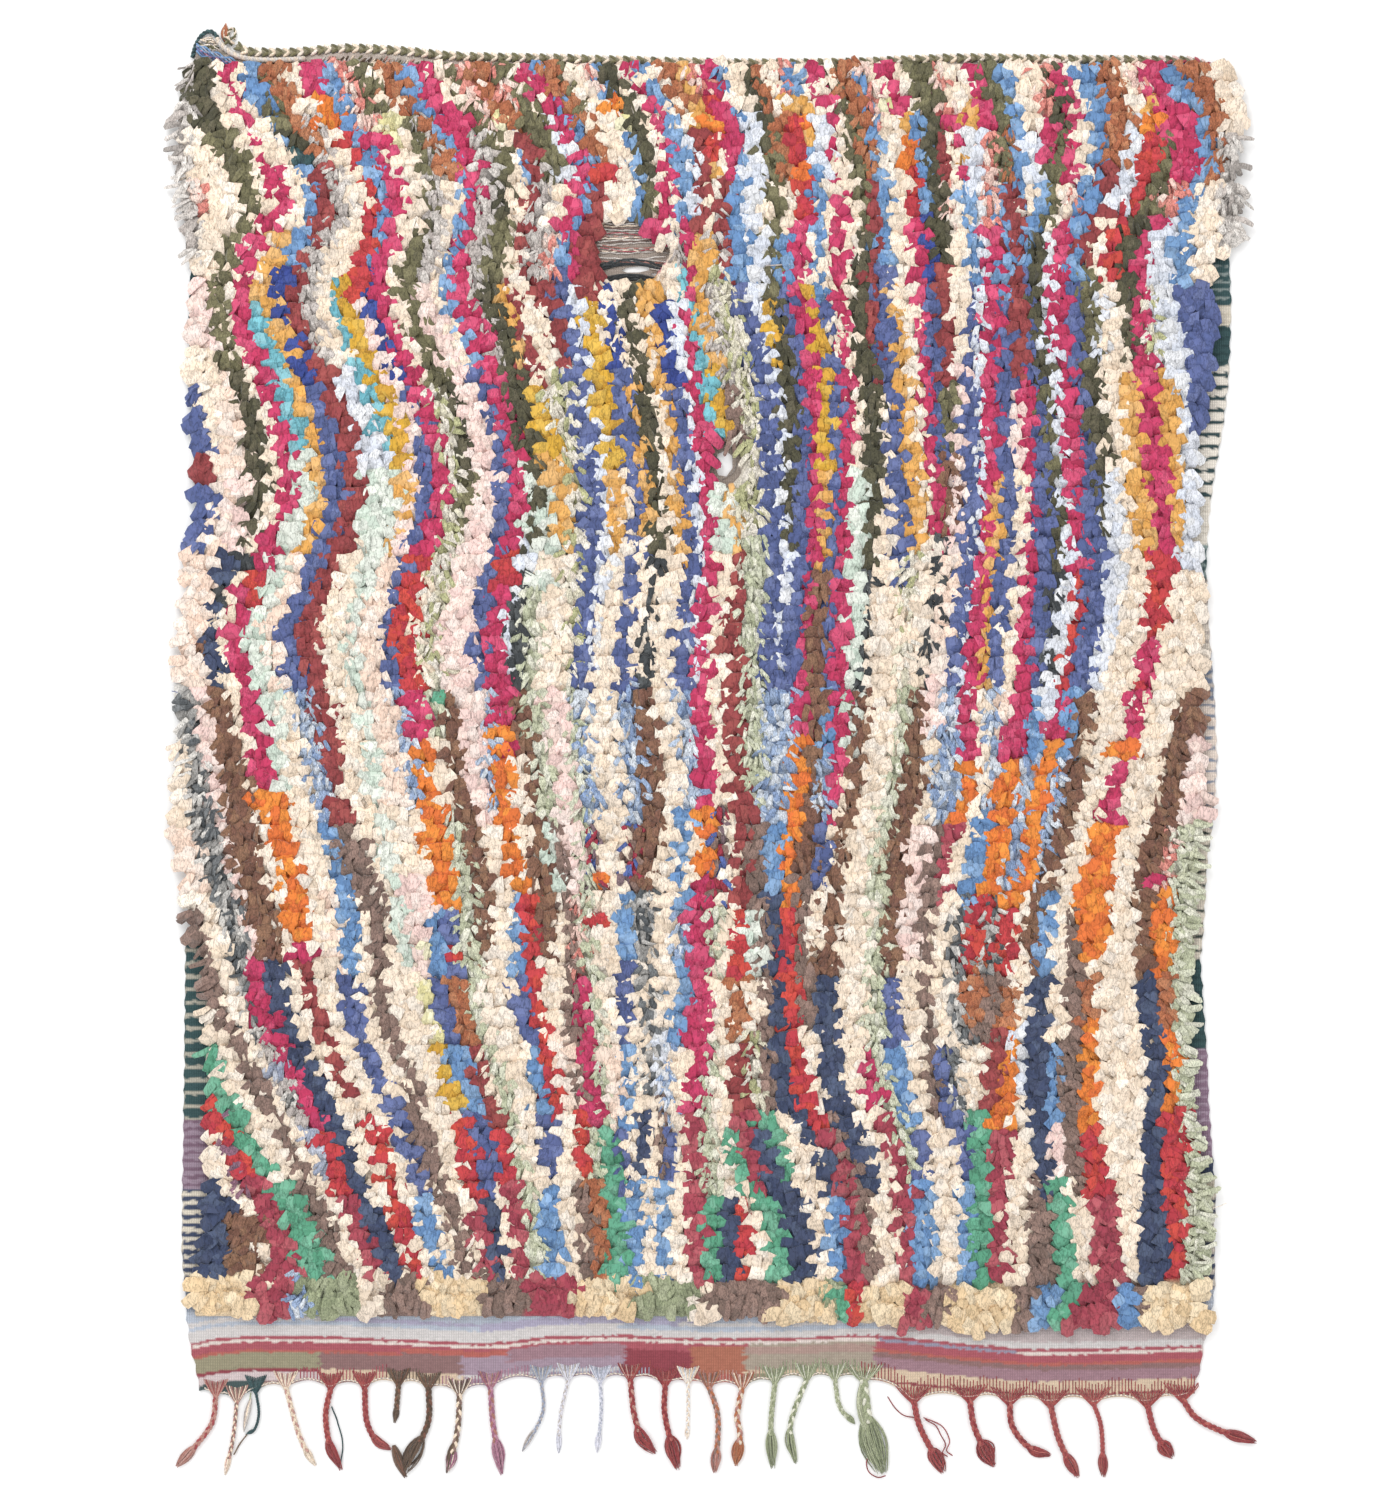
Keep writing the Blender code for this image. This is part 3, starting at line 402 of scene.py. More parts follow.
    1000: """cream 211 taupe 228 cream 241 pepper 250 raspberry 273 navy 292 cream 304 brick 320 cream 341
        periwinkle 362 cream 375 taupe 391 cream 424 lemon 433 periwinkle 447 rust 466 sage 480 cream 515
        periwinkle 530 red 541 cream 563 taupe 574 raspberry 587 sage 601 cream 616 periwinkle 630 cream 642
        pepper 657 cream 674 sky 689 raspberry 710 cream 730 rust 747 cream 761 taupe 772 navy 784 red 800
        taupe 814 navy 836 cream 862 sage 884 periwinkle 899 cream 918 taupe 930 cream 950 pepper 964
        rust 981 taupe 998 rust 1016 cream 1025 navy 1050 cream 1064 taupe 1078 rust 1093 cream 1133
        navy 1153 rust 1172 sage 1185""",
    1070: """red 203 green 227 cream 244 taupe 260 cream 269 grey 291 raspberry 303 navy 322 cream 334 brick 351
        cream 369 periwinkle 384 cream 400 taupe 417 cream 440 mustard 452 sky 474 brick 486 cream 494
        sage 508 cream 532 sky 547 red 558 peach 573 taupe 584 raspberry 598 sage 608 peach 623 sky 634
        cream 645 pepper 658 white 663 bluefleck 672 cream 686 raspberry 703 sage 715 cream 732
        brick 747 print 761 taupe 773 navy 790 red 807 cream 820 navy 842 cream 860 raspberry 873
        sage 887 sky 907 cream 923 taupe 936 periwinkle 947 pepper 959 cream 981 brick 1000 orange 1013
        white 1022 navy 1044 sky 1056 taupe 1078 orange 1094 cream 1142 navy 1163 orange 1172 sage 1183""",
    1150: """cream 225 mauve 237 red 252 green 268 cream 289 taupe 301 cream 313 slate 325 red 340
        navy 358 cream 377 red 391 cream 404 periwinkle 420 taupe 438 cream 461 red 477 periwinkle 497
        red 511 sage 524 cream 543 periwinkle 558 cream 577 red 588 sage 604 green 619 periwinkle 628
        cream 636 navy 647 cream 657 taupe 665 periwinkle 676 cream 686 maroon 701 sage 718 cream 727
        green 742 maroon 756 navy 776 green 790 cream 814 navy 827 maroon 843 taupe 853 navy 873
        cream 888 maroon 901 sage 915 periwinkle 927 cream 957 periwinkle 970 green 986 maroon 1011
        cream 1030 navy 1047 blush 1063 taupe 1079 red 1100 cream 1139 navy 1156 red 1183 sage 1195""",
    1220: """navy 228 brown 255 cream 268 maroon 291 green 317 taupe 338 cream 350 maroon 369 navy 388
        cream 393 red 411 cream 422 sky 438 cream 446 taupe 464 cream 473 maroon 486 navy 500 cream 511
        maroon 526 sage 542 sky 559 cream 578 taupe 593 rust 607 green 626 sky 644 cream 656 sky 668
        cream 687 maroon 705 green 718 navy 737 red 750 cream 764 green 784 navy 811 cream 825 sky 841
        maroon 858 taupe 872 cream 895 maroon 909 sky 931 cream 958 sky 970 green 987 maroon 1003 cream 1023
        taupe 1049 green 1069 cream 1088 maroon 1115 cream 1133 navy 1162 red 1180 sage 1191""",
}
# The row after which the colours change late
LATE_CHANGE = 610
# The row of blocks below the stripes
BLOCKS = """butter 258 maroon 290 bluefleck 303 fern 362 cream 384 taupe 430 butter 484 taupe 524 maroon 576
    butter 640 fern 694 cream 702 taupe 779 butter 826 fern 836 green 848 red 860 butter 904 maroon 920
    taupe 946 butter 1009 taupe 1032 sky 1050 green 1068 maroon 1116 sky 1132 taupe 1142 butter 1206"""

# Single clumps of another colour: middle, half width and half length, colour
Clump = namedtuple("Clump", "x y half_width half_length colour")
CLUMPS = (
    Clump(329, 108, 12, 20, "orange"),
    Clump(349, 143, 10, 9, "red"),
    Clump(351, 160, 9, 7, "orange"),
    Clump(390, 122, 12, 20, "lemon"),
    Clump(505, 118, 9, 10, "lemon"),
    Clump(609, 102, 12, 8, "orange"),
    Clump(622, 120, 6, 12, "lemon"),
    Clump(694, 94, 9, 10, "amber"),
    Clump(709, 102, 6, 8, "red"),
    Clump(712, 114, 8, 7, "orange"),
    Clump(712, 127, 8, 8, "red"),
    Clump(714, 151, 6, 8, "red"),
    Clump(714, 167, 5, 6, "amber"),
    Clump(610, 168, 11, 7, "red"),
    Clump(794, 102, 9, 9, "amber"),
    Clump(803, 118, 8, 8, "orange"),
    Clump(796, 140, 6, 10, "red"),
    Clump(807, 139, 4, 8, "amber"),
    Clump(800, 169, 8, 7, "orange"),
    Clump(884, 102, 8, 11, "lemon"),
    Clump(907, 123, 9, 10, "amber"),
    Clump(911, 145, 6, 11, "orange"),
    Clump(911, 164, 5, 8, "red"),
    Clump(968, 114, 11, 12, "amber"),
    Clump(962, 148, 6, 6, "amber"),
    Clump(963, 160, 8, 8, "raspberry"),
    Clump(1049, 111, 6, 6, "orange"),
    Clump(1151, 108, 9, 8, "amber"),
    Clump(1150, 121, 8, 8, "orange"),
    Clump(1151, 140, 10, 12, "red"),
    Clump(1153, 159, 12, 7, "orange"),
    Clump(296, 150, 13, 9, "teal"),
    Clump(203, 460, 12, 15, "brick"),
    Clump(199, 490, 9, 13, "white"),
    Clump(256, 575, 16, 14, "red"),
    Clump(248, 597, 12, 8, "red"),
    Clump(232, 576, 4, 10, "charcoal"),
    Clump(219, 595, 9, 10, "charcoal"),
    Clump(205, 634, 9, 7, "charcoal"),
    Clump(238, 559, 8, 10, "charcoal"),
    Clump(202, 648, 12, 8, "brown"),
    Clump(439, 688, 5, 8, "green"),
    Clump(1120, 745, 12, 9, "orange"),
    Clump(1150, 882, 10, 6, "raspberry"),
    Clump(1085, 938, 11, 6, "raspberry"),
    Clump(450, 932, 7, 9, "periwinkle"),
    Clump(449, 946, 9, 9, "red"),
    Clump(427, 949, 7, 8, "lemon"),
    Clump(597, 914, 6, 7, "red"),
    Clump(604, 884, 9, 9, "orange"),
    Clump(504, 566, 12, 17, "red"),
    Clump(521, 560, 7, 12, "white"),
    Clump(542, 575, 11, 18, "mint"),
    Clump(273, 800, 17, 17, "orange"),
    Clump(288, 832, 12, 10, "orange"),
    Clump(302, 944, 9, 7, "raspberry"),
    Clump(304, 965, 9, 12, "brick"),
    Clump(499, 732, 11, 16, "orange"),
    Clump(1150, 650, 13, 24, "raspberry"),
    Clump(278, 1070, 11, 9, "slate"),
    Clump(293, 1096, 12, 12, "pepper"),
    Clump(306, 1120, 7, 7, "sky"),
    Clump(309, 1138, 8, 8, "slate"),
    Clump(223, 1206, 11, 26, "navy"),
    Clump(252, 1228, 13, 22, "brown"),
)

# Families of like colours: where a stripe changes colour on its way down, it mostly stays in its family
FAMILIES = (
    "cream white peach blush butter mint lilac lemon",
    "sky turquoise periwinkle royal navy bluefleck",
    "raspberry red orange maroon coral",
    "olive moss brown taupe pepper charcoal",
    "rust brick amber mustard",
    "grey greyfleck sage print green marl mauve slate",
)

# Lay of the pile in degrees from straight down the rug, to the right: a row for each place down the rug
LAY_ACROSS = (190, 270, 440, 700, 950, 1200)
LAY_DOWN = (80, 400, 700, 1000, 1240)
LAY = (
    (-30, -6, 4, 4, 4, 10),
    (-40, 8, 20, 8, 4, 8),
    (-40, -4, 8, 4, 6, 25),
    (-32, -8, -6, 4, 10, 62),
    (-48, -14, -8, 0, 18, 70),
)

MERGE_TOLERANCE = 1e-7
HEM_STEP = 6.0
SCALLOP = 0.16
SCALLOP_MOST = 7.0
PIECE_GAP = 0.0003
MOST_TRIANGLES = 190000


class RugSettings(bpy.types.PropertyGroup):
    """The sizes and colours of the rug that a user may change."""

    ground_thickness: bpy.props.FloatProperty(
        name="Ground thickness", description="Thickness of the woven ground", default=0.0038, unit="LENGTH"
    )
    row_pitch: bpy.props.FloatProperty(
        name="Row pitch", description="Distance from one row of knots to the next", default=0.0262, unit="LENGTH"
    )
    knot_width: bpy.props.FloatProperty(
        name="Knot width", description="Room that one knot takes along its row", default=0.0205, unit="LENGTH"
    )
    pile_height: bpy.props.FloatProperty(
        name="Pile height", description="How high the tufts stand before they fall over", default=0.024,
        unit="LENGTH"
    )
    braid_width: bpy.props.FloatProperty(
        name="Braid width", description="Width of the plait along the top edge", default=0.0124, unit="LENGTH"
    )
    floor_colour: bpy.props.StringProperty(
        name="Floor colour", description="Colour of the floor, as an sRGB hex value", default="#F6F6F6"
    )
    key_power: bpy.props.FloatProperty(
        name="Key light", description="Power of the large soft lamp", default=70.0, unit="POWER"
    )
    sky_strength: bpy.props.FloatProperty(
        name="Fill light", description="Strength of the even light from all round", default=1.15
    )


def linear(hex_colour):
    """An sRGB hex value as linear red, green and blue."""
    values = np.array([int(hex_colour[i:i + 2], 16) for i in (1, 3, 5)]) / 255
    return np.where(values <= 0.04045, values / 12.92, ((values + 0.055) / 1.055) ** 2.4)


def metres(points):
    """Cartoon points as plan points in metres: x to the right and y up the rug, both from the frame's origin."""
    points = np.asarray(points, float)
    return np.column_stack(
        [points[:, 0] - CARTOON_MIDDLE[0], CARTOON_MIDDLE[1] - points[:, 1]]
    ) * CARTOON_UNIT


def column(table, name):
    """One named column of a table."""
    return np.array([getattr(row, name) for row in table], float)


def side_at(table, name, down):
    """A named column of a side's table at any place down the rug."""
    return np.interp(down, column(table, "down"), column(table, name))


def smooth_route(points, step):
    """A Catmull-Rom spline through the points, sampled about every step."""
    points = np.asarray(points, float)
    ends = np.vstack([2 * points[0] - points[1], points, 2 * points[-1] - points[-2]])
    samples = [points[:1]]
    for before, start, end, after in zip(ends, ends[1:], ends[2:], ends[3:]):
        count = max(1, round(float(np.linalg.norm(end - start)) / step))
        t = (np.arange(count) + 1.0)[:, None] / count
        samples.append(
            0.5 * (2 * start + (end - before) * t + (2 * before - 5 * start + 4 * end - after) * t**2
                   + (3 * start - before - 3 * end + after) * t**3)
        )
    return np.vstack(samples)


def add_node(tree, kind, settings=None, links=None):
    """Adds one node, sets its settings and inputs, and links its inputs to other nodes' outputs."""
    node = tree.nodes.new(kind)
    for name, value in (settings or {}).items():
        if isinstance(name, int) or name in node.inputs:
            node.inputs[name].default_value = value
        else:
            setattr(node, name, value)
    for name, output in (links or {}).items():
        tree.links.new(output, node.inputs[name])
    return node


def new_material(name, roughness, sheen):
    """A material with its Principled shader, for yarn or cloth."""
    material = bpy.data.materials.new(name)
    material.use_nodes = True
    tree = material.node_tree
    shader = tree.nodes["Principled BSDF"]
    shader.inputs["Roughness"].default_value = roughness
    shader.inputs["Sheen Weight"].default_value = sheen
    shader.inputs["Sheen Roughness"].default_value = 0.5
    shader.inputs["Specular IOR Level"].default_value = 0.25
    return material, tree, shader


def rag_material(name, roughness, sheen, crumple_mm, thread_mm, fleck):
    """Rag or yarn: its colour is the piece's dye attribute, broken by fleck and darkened along crease lines as
    painted shade, with crumples and threads as bump.

    crumple_mm is the size of the creases and thread_mm that of the yarn's threads.
    """
    material, tree, shader = new_material(name, roughness, sheen)
    dye = add_node(tree, "ShaderNodeAttribute", {"attribute_name": "dye"})
    place = add_node(tree, "ShaderNodeTexCoord")
    # Creases and threads run mostly down the rug, as the pile lies
    drawn_out = add_node(
        tree, "ShaderNodeMapping", {"Scale": (1.0, 0.38, 0.8)}, {"Vector": place.outputs["Object"]}
    )
    crumple = add_node(
        tree, "ShaderNodeTexNoise", {"Scale": 1000 / crumple_mm, "Detail": 3.0, "Roughness": 0.6},
        {"Vector": drawn_out.outputs["Vector"]}
    )
    thread = add_node(
        tree, "ShaderNodeTexNoise", {"Scale": 1000 / thread_mm, "Detail": 2.0},
        {"Vector": drawn_out.outputs["Vector"]}
    )
    shade = add_node(
        tree, "ShaderNodeMapRange", {"From Min": 0.3, "From Max": 0.7, "To Min": 1 - fleck,
            "To Max": 1 + fleck},
        {"Value": thread.outputs["Fac"]}
    )
    # Painted shade: creases show as thin darker lines where the crumple noise passes its middle value
    from_middle = add_node(
        tree, "ShaderNodeMath", {"operation": "SUBTRACT", 1: 0.5}, {0: crumple.outputs["Fac"]}
    )
    distance = add_node(tree, "ShaderNodeMath", {"operation": "ABSOLUTE"}, {0: from_middle.outputs["Value"]})
    crease_shade = add_node(
        tree, "ShaderNodeMapRange", {"From Min": 0.0, "From Max": 0.05, "To Min": 0.66 - fleck,
            "To Max": 1.0},
        {"Value": distance.outputs["Value"]}
    )
    fleck_and_crease_shade = add_node(
        tree, "ShaderNodeMath", {"operation": "MULTIPLY"},
        {0: shade.outputs["Result"], 1: crease_shade.outputs["Result"]}
    )
    tinted = add_node(
        tree, "ShaderNodeVectorMath", {"operation": "SCALE"},
        {"Vector": dye.outputs["Color"], "Scale": fleck_and_crease_shade.outputs["Value"]}
    )
    tree.links.new(tinted.outputs["Vector"], shader.inputs["Base Color"])
    both = add_node(
        tree, "ShaderNodeMath", {"operation": "ADD"},
        {0: crumple.outputs["Fac"], 1: thread.outputs["Fac"]}
    )
    bump = add_node(
        tree, "ShaderNodeBump", {"Strength": 0.6, "Distance": 0.0012}, {"Height": both.outputs["Value"]}
    )
    tree.links.new(bump.outputs["Normal"], shader.inputs["Normal"])
    return material


def woven_material():
    """Weft-faced flat weave: ribs of packed weft across, crossed by warps; its colours are the dye, painted darker in
    the grooves between ribs and warps and lighter on the ribs' tops.
    """
    material, tree, shader = new_material("weft-faced cotton and wool weave", 0.9, 0.15)
    dye = add_node(tree, "ShaderNodeAttribute", {"attribute_name": "dye"})
    place = add_node(tree, "ShaderNodeTexCoord")
    # Wefts lie 2.4 mm apart and warps 3.6 mm apart
    weft = add_node(
        tree, "ShaderNodeTexWave",
        {"bands_direction": "Y", "Scale": 2 * math.pi / 20 / 0.0024, "Distortion": 1.2, "Detail": 2.0,
         "Detail Scale": 1.5},
        {"Vector": place.outputs["Object"]}
    )
    warp = add_node(
        tree, "ShaderNodeTexWave",
        {"bands_direction": "X", "Scale": 2 * math.pi / 20 / 0.0036, "Distortion": 1.0, "Detail": 2.0},
        {"Vector": place.outputs["Object"]}
    )
    weave = add_node(
        tree, "ShaderNodeMath", {"operation": "MULTIPLY"}, {0: weft.outputs["Fac"], 1: warp.outputs["Fac"]}
    )
    # Painted shade and highlight: the dye is darkened in the weave's grooves, between weft ribs and between warps,
    # and lightened on the ribs' tops
    shade = add_node(
        tree, "ShaderNodeMapRange", {"From Min": 0.0, "From Max": 0.8, "To Min": 0.72, "To Max": 1.10},
        {"Value": weave.outputs["Value"]}
    )
    tinted = add_node(
        tree, "ShaderNodeVectorMath", {"operation": "SCALE"},
        {"Vector": dye.outputs["Color"], "Scale": shade.outputs["Result"]}
    )
    tree.links.new(tinted.outputs["Vector"], shader.inputs["Base Color"])
    bump = add_node(
        tree, "ShaderNodeBump", {"Strength": 0.7, "Distance": 0.0012}, {"Height": weave.outputs["Value"]}
    )
    tree.links.new(bump.outputs["Normal"], shader.inputs["Normal"])
    return material


def put_mesh(name, vertices, faces, dye, material, uvs=None, smooth=True):
    """One mesh piece from arrays of points, of faces with equal counts of corners and of point colours."""
    mesh = bpy.data.meshes.new(name)
    corners = np.concatenate([np.asarray(block, np.int32).reshape(-1) for block in faces])
    sizes = np.concatenate([np.full(len(block), np.shape(block)[1], np.int32) for block in faces])
    mesh.vertices.add(len(vertices))
    mesh.vertices.foreach_set("co", np.asarray(vertices, np.float32).reshape(-1))
    mesh.loops.add(len(corners))
    mesh.loops.foreach_set("vertex_index", corners)
    mesh.polygons.add(len(sizes))
    starts = np.concatenate([[0], np.cumsum(sizes)[:-1]]).astype(np.int32)
    mesh.polygons.foreach_set("loop_start", starts)
    mesh.polygons.foreach_set("loop_total", sizes)
    mesh.update(calc_edges=True)
    mesh.polygons.foreach_set("use_smooth", np.full(len(sizes), smooth))
    colour = mesh.color_attributes.new("dye", "FLOAT_COLOR", "POINT")
    rgba = np.column_stack([np.clip(dye, 0, 1), np.ones(len(dye))])
    colour.data.foreach_set("color", rgba.astype(np.float32).reshape(-1))
    if uvs is not None:
        layer = mesh.uv_layers.new(name="OFBake")
        layer.data.foreach_set("uv", np.asarray(uvs, np.float32).reshape(-1))
    mesh.validate()
    piece = bpy.data.objects.new(name, mesh)
    bpy.context.scene.collection.objects.link(piece)
    mesh.materials.append(material)
    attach(piece, "root")
    return piece


def tongue_faces(count, rings):
    """Faces of count closed three-sided tongues, each with rings of three points between a root and a tip point.

    Returns blocks of quads and triangles, and each corner's place round and along its tongue, from 0 to 1.
    """
    points = 3 * rings + 2
    quads, quad_places = [], []
    for ring in range(rings - 1):
        for side in range(3):
            a, b = 1 + 3 * ring + side, 1 + 3 * ring + (side + 1) % 3
            quads.append((a, b, b + 3, a + 3))
            low, high = (ring + 1) / (rings + 1), (ring + 2) / (rings + 1)
            left, right = side / 3, (side + 1) / 3
            quad_places.append(((left, low), (right, low), (right, high), (left, high)))
    triangles, triangle_places = [], []
    last = 1 + 3 * (rings - 1)
    for side in range(3):
        after = (side + 1) % 3
        left, right = side / 3, (side + 1) / 3
        triangles.append((0, 1 + after, 1 + side))
        triangle_places.append(
            (((left + right) / 2, 0.0), (right, 1 / (rings + 1)), (left, 1 / (rings + 1)))
        )
        triangles.append((last + side, last + after, points - 1))
        triangle_places.append(
            ((left, rings / (rings + 1)), (right, rings / (rings + 1)), ((left + right) / 2, 1.0))
        )
    first = (np.arange(count) * points)[:, None, None]
    return (
        [(np.array(block)[None] + first).reshape(-1, np.shape(block)[1]) for block in (quads, triangles)],
        [np.array(quad_places), np.array(triangle_places)],
    )


def tongues(root, heading, length, width, crest, tip, roll, fold, bend, crumple, rings):
    """Points of cut strips of rag that rise from their roots and fall over, all as one array.

    Along a strip, with t from 0 to 1, the way out is length * (1 - cos(pi * t / 2)) ** 0.8 along a heading that
    turns by bend * t, the height is root + crest * sin(pi * t ** 0.7) + tip * t, and the half width is
    width / 2 * sqrt(1 - (1 - t) ** 3) * (1 - 0.25 * t ** 2), so that its end is cut nearly square. Across, its three
    corners are the left edge, the fold above and the right edge, turned round the strip by roll. Each of these
    points is then moved by its own share of crumple, which has three random numbers for every point.
    """
    t = np.concatenate([[0.0], (np.arange(rings) + 0.7) / (rings - 0.1), [1.0]])[None, :]
    out = length[:, None] * (1 - np.cos(np.pi * t / 2)) ** 0.8
    way = heading[:, None] + bend[:, None] * t
    middle = np.stack(
        [
            root[:, None, 0] + out * np.cos(way),
            root[:, None, 1] + out * np.sin(way),
            root[:, None, 2] + crest[:, None] * np.sin(np.pi * t**0.7) + tip[:, None] * t,
        ],
        axis=-1,
    )
    along = np.gradient(middle, axis=1)
    along /= np.linalg.norm(along, axis=2, keepdims=True) + 1e-12
    side = np.stack([-np.sin(way), np.cos(way), np.zeros_like(way)], axis=-1)
    side -= along * (side * along).sum(axis=2, keepdims=True)
    side /= np.linalg.norm(side, axis=2, keepdims=True) + 1e-12
    above = np.cross(along, side)
    turn_cos, turn_sin = np.cos(roll)[:, None, None], np.sin(roll)[:, None, None]
    side, above = side * turn_cos + above * turn_sin, above * turn_cos - side * turn_sin
    half = (width[:, None] / 2 * np.sqrt(1 - (1 - t) ** 3) * (1 - 0.25 * t**2))[..., None]
    left = middle + side * half
    right = middle - side * half
    ridge = middle + above * half * (2 * fold[:, None, None])
    body = np.stack([right, left, ridge], axis=2)[:, 1:-1].reshape(len(root), -1, 3)
    body += crumple[:, :body.shape[1]]
    return np.concatenate([middle[:, :1], body, middle[:, -1:]], axis=1)


def strip_uvs(count, places):
    """A corner map in which every strip has its own cell of a square grid, with a margin round it."""
    per_side = math.ceil(math.sqrt(count))
    cells = np.stack([np.arange(count) % per_side, np.arange(count) // per_side], axis=1)[:, None, None]
    blocks = [((cells + 0.1 + 0.8 * block[None]) / per_side).reshape(-1, 2) for block in places]
    return np.vstack(blocks)


def put_tongues(name, strips, dyes, rings, material):
    """One piece of many tongues: strips holds the arrays that tongues() takes, dyes a colour for each, painted darker
    at each strip's root and lighter on its ridge.
    """
    points = tongues(rings=rings, **strips)
    count, per_strip = points.shape[:2]
    faces, places = tongue_faces(count, rings)
    # Painted shade and highlight: each strip darkens towards its root, low in the pile, and lightens towards its tip;
    # its folded ridge is painted lighter than its two edges
    painted_light_and_shade = np.concatenate([[0.80], np.repeat(np.linspace(0.92, 1.02, rings), 3), [1.02]])
    ridge = np.tile([0.97, 0.97, 1.04], rings)
    painted_light_and_shade[1:-1] *= ridge
    dye = (dyes[:, None, :] * painted_light_and_shade[None, :, None]).reshape(-1, 3)
    uvs = strip_uvs(count, places)
    return put_mesh(name, points.reshape(-1, 3), faces, dye, material, uvs, smooth=False)


def guides_at(down):
    """Where the guide lines run at one place down the rug."""
    return np.array([np.interp(down, GUIDE_DOWN, line) for line in GUIDES])


def read_row(text):
    """A written row as its colour names and their right edges."""
    words = text.split()
    return words[0::2], np.array([float(word) for word in words[1::2]])


def read_stripes(text, down):
    """A written row of stripes as colour names and edges; the edges are counted in guide lines, not units."""
    names, rights = read_row(text)
    guides = guides_at(down)
    edges = np.concatenate([guides[:1], rights])
    return names, np.interp(edges, guides, np.arange(len(guides)))


def family_of(name):
    """The family of like colours that a colour is in."""
    return next(i for i, names in enumerate(FAMILIES) if name in names.split())


def pair_stripes(above, below):
    """Pairs the stripes of two written rows, in order, so that like colours that lie close go together.

    This is the cheapest alignment of the two rows: a pair costs its distance in guide lines and its change of
    colour, and a stripe that is left alone costs LONE.
    """
    lone, same, kin, other = 0.34, 0.0, 0.16, 0.60
    names_a, edges_a = above
    names_b, edges_b = below
    middles_a = (edges_a[1:] + edges_a[:-1]) / 2
    middles_b = (edges_b[1:] + edges_b[:-1]) / 2
    rows, columns = len(names_a), len(names_b)
    cost = np.zeros((rows + 1, columns + 1))
    cost[:, 0] = np.arange(rows + 1) * lone
    cost[0, :] = np.arange(columns + 1) * lone
    step = np.zeros((rows, columns), int)
    for i in range(rows):
        for j in range(columns):
            change = same if names_a[i] == names_b[j] else (
                kin if family_of(names_a[i]) == family_of(names_b[j]) else other
            )
            choices = (
                cost[i, j] + change + 1.6 * abs(middles_a[i] - middles_b[j]),
                cost[i, j + 1] + lone,
                cost[i + 1, j] + lone,
            )
            step[i, j] = int(np.argmin(choices))
            cost[i + 1, j + 1] = min(choices)
    pairs = []
    i, j = rows - 1, columns - 1
    while i >= 0 and j >= 0:
        if step[i, j] == 0:
            pairs.append((i, j))
            i, j = i - 1, j - 1
        elif step[i, j] == 1:
            pairs.append((i, None))
            i -= 1
        else:
            pairs.append((None, j))
            j -= 1
    pairs += [(k, None) for k in range(i, -1, -1)] + [(None, k) for k in range(j, -1, -1)]
    return pairs


class StripeField:
    """The stripes anywhere on the rug, followed from each written row to the next."""

    def __init__(self):
        self.downs = sorted(STRIPES)
        self.rows = [read_stripes(STRIPES[down], down) for down in self.downs]
        rng = np.random.default_rng(21)
        self.links = []
        for down, above, below in zip(self.downs, self.rows, self.rows[1:]):
            pairs = pair_stripes(above, below)
            first, last = (0.72, 0.92) if down == LATE_CHANGE else (0.32, 0.68)
            self.links.append([(i, j, rng.uniform(first, last)) for i, j in pairs])

    def at(self, down):
        """Colour names and their edges in cartoon units at one place down the rug."""
        level = int(np.clip(np.searchsorted(self.downs, down) - 1, 0, len(self.links) - 1))
        t = np.clip((down - self.downs[level]) / (self.downs[level + 1] - self.downs[level]), 0, 1)
        (names_a, edges_a), (names_b, edges_b) = self.rows[level], self.rows[level + 1]
        found = []
        for i, j, turn in self.links[level]:
            if j is None:
                middle, half = (edges_a[i + 1] + edges_a[i]) / 2, (edges_a[i + 1] - edges_a[i]) / 2
                half *= np.clip((turn - t) / 0.2, 0, 1)
                name = names_a[i]
            elif i is None:
                middle, half = (edges_b[j + 1] + edges_b[j]) / 2, (edges_b[j + 1] - edges_b[j]) / 2
                half *= np.clip((t - turn) / 0.2, 0, 1)
                name = names_b[j]
            else:
                left = edges_a[i] + (edges_b[j] - edges_a[i]) * t
                right = edges_a[i + 1] + (edges_b[j + 1] - edges_a[i + 1]) * t
                middle, half = (left + right) / 2, (right - left) / 2
                name = names_a[i] if t < turn else names_b[j]
            if half > 0:
                found.append((middle, half, name))
        found.sort()
        middles, halves, names = (list(part) for part in zip(*found))
        middles, halves = np.array(middles), np.array(halves)
        between = (middles[:-1] + halves[:-1] + middles[1:] - halves[1:]) / 2
        edges = np.concatenate([[0.0], between, [middles[-1] + halves[-1]]])
        guides = guides_at(down)
        return names, np.interp(np.maximum.accumulate(edges), np.arange(len(guides)), guides)


def lay_at(x, down):
    """The lay of the pile at cartoon points, in radians from straight down the rug."""
    table = np.array(LAY, float)
    rows = np.interp(down, LAY_DOWN, np.arange(len(LAY_DOWN)))
    low = np.clip(np.floor(rows).astype(int), 0, len(LAY_DOWN) - 2)
    share = rows - low
    across = np.interp(x, LAY_ACROSS, np.arange(len(LAY_ACROSS)))
    left = np.clip(np.floor(across).astype(int), 0, len(LAY_ACROSS) - 2)
    part = across - left
    top = table[low, left] * (1 - part) + table[low, left + 1] * part
    bottom = table[low + 1, left] * (1 - part) + table[low + 1, left + 1] * part
    return np.radians(top * (1 - share) + bottom * share)


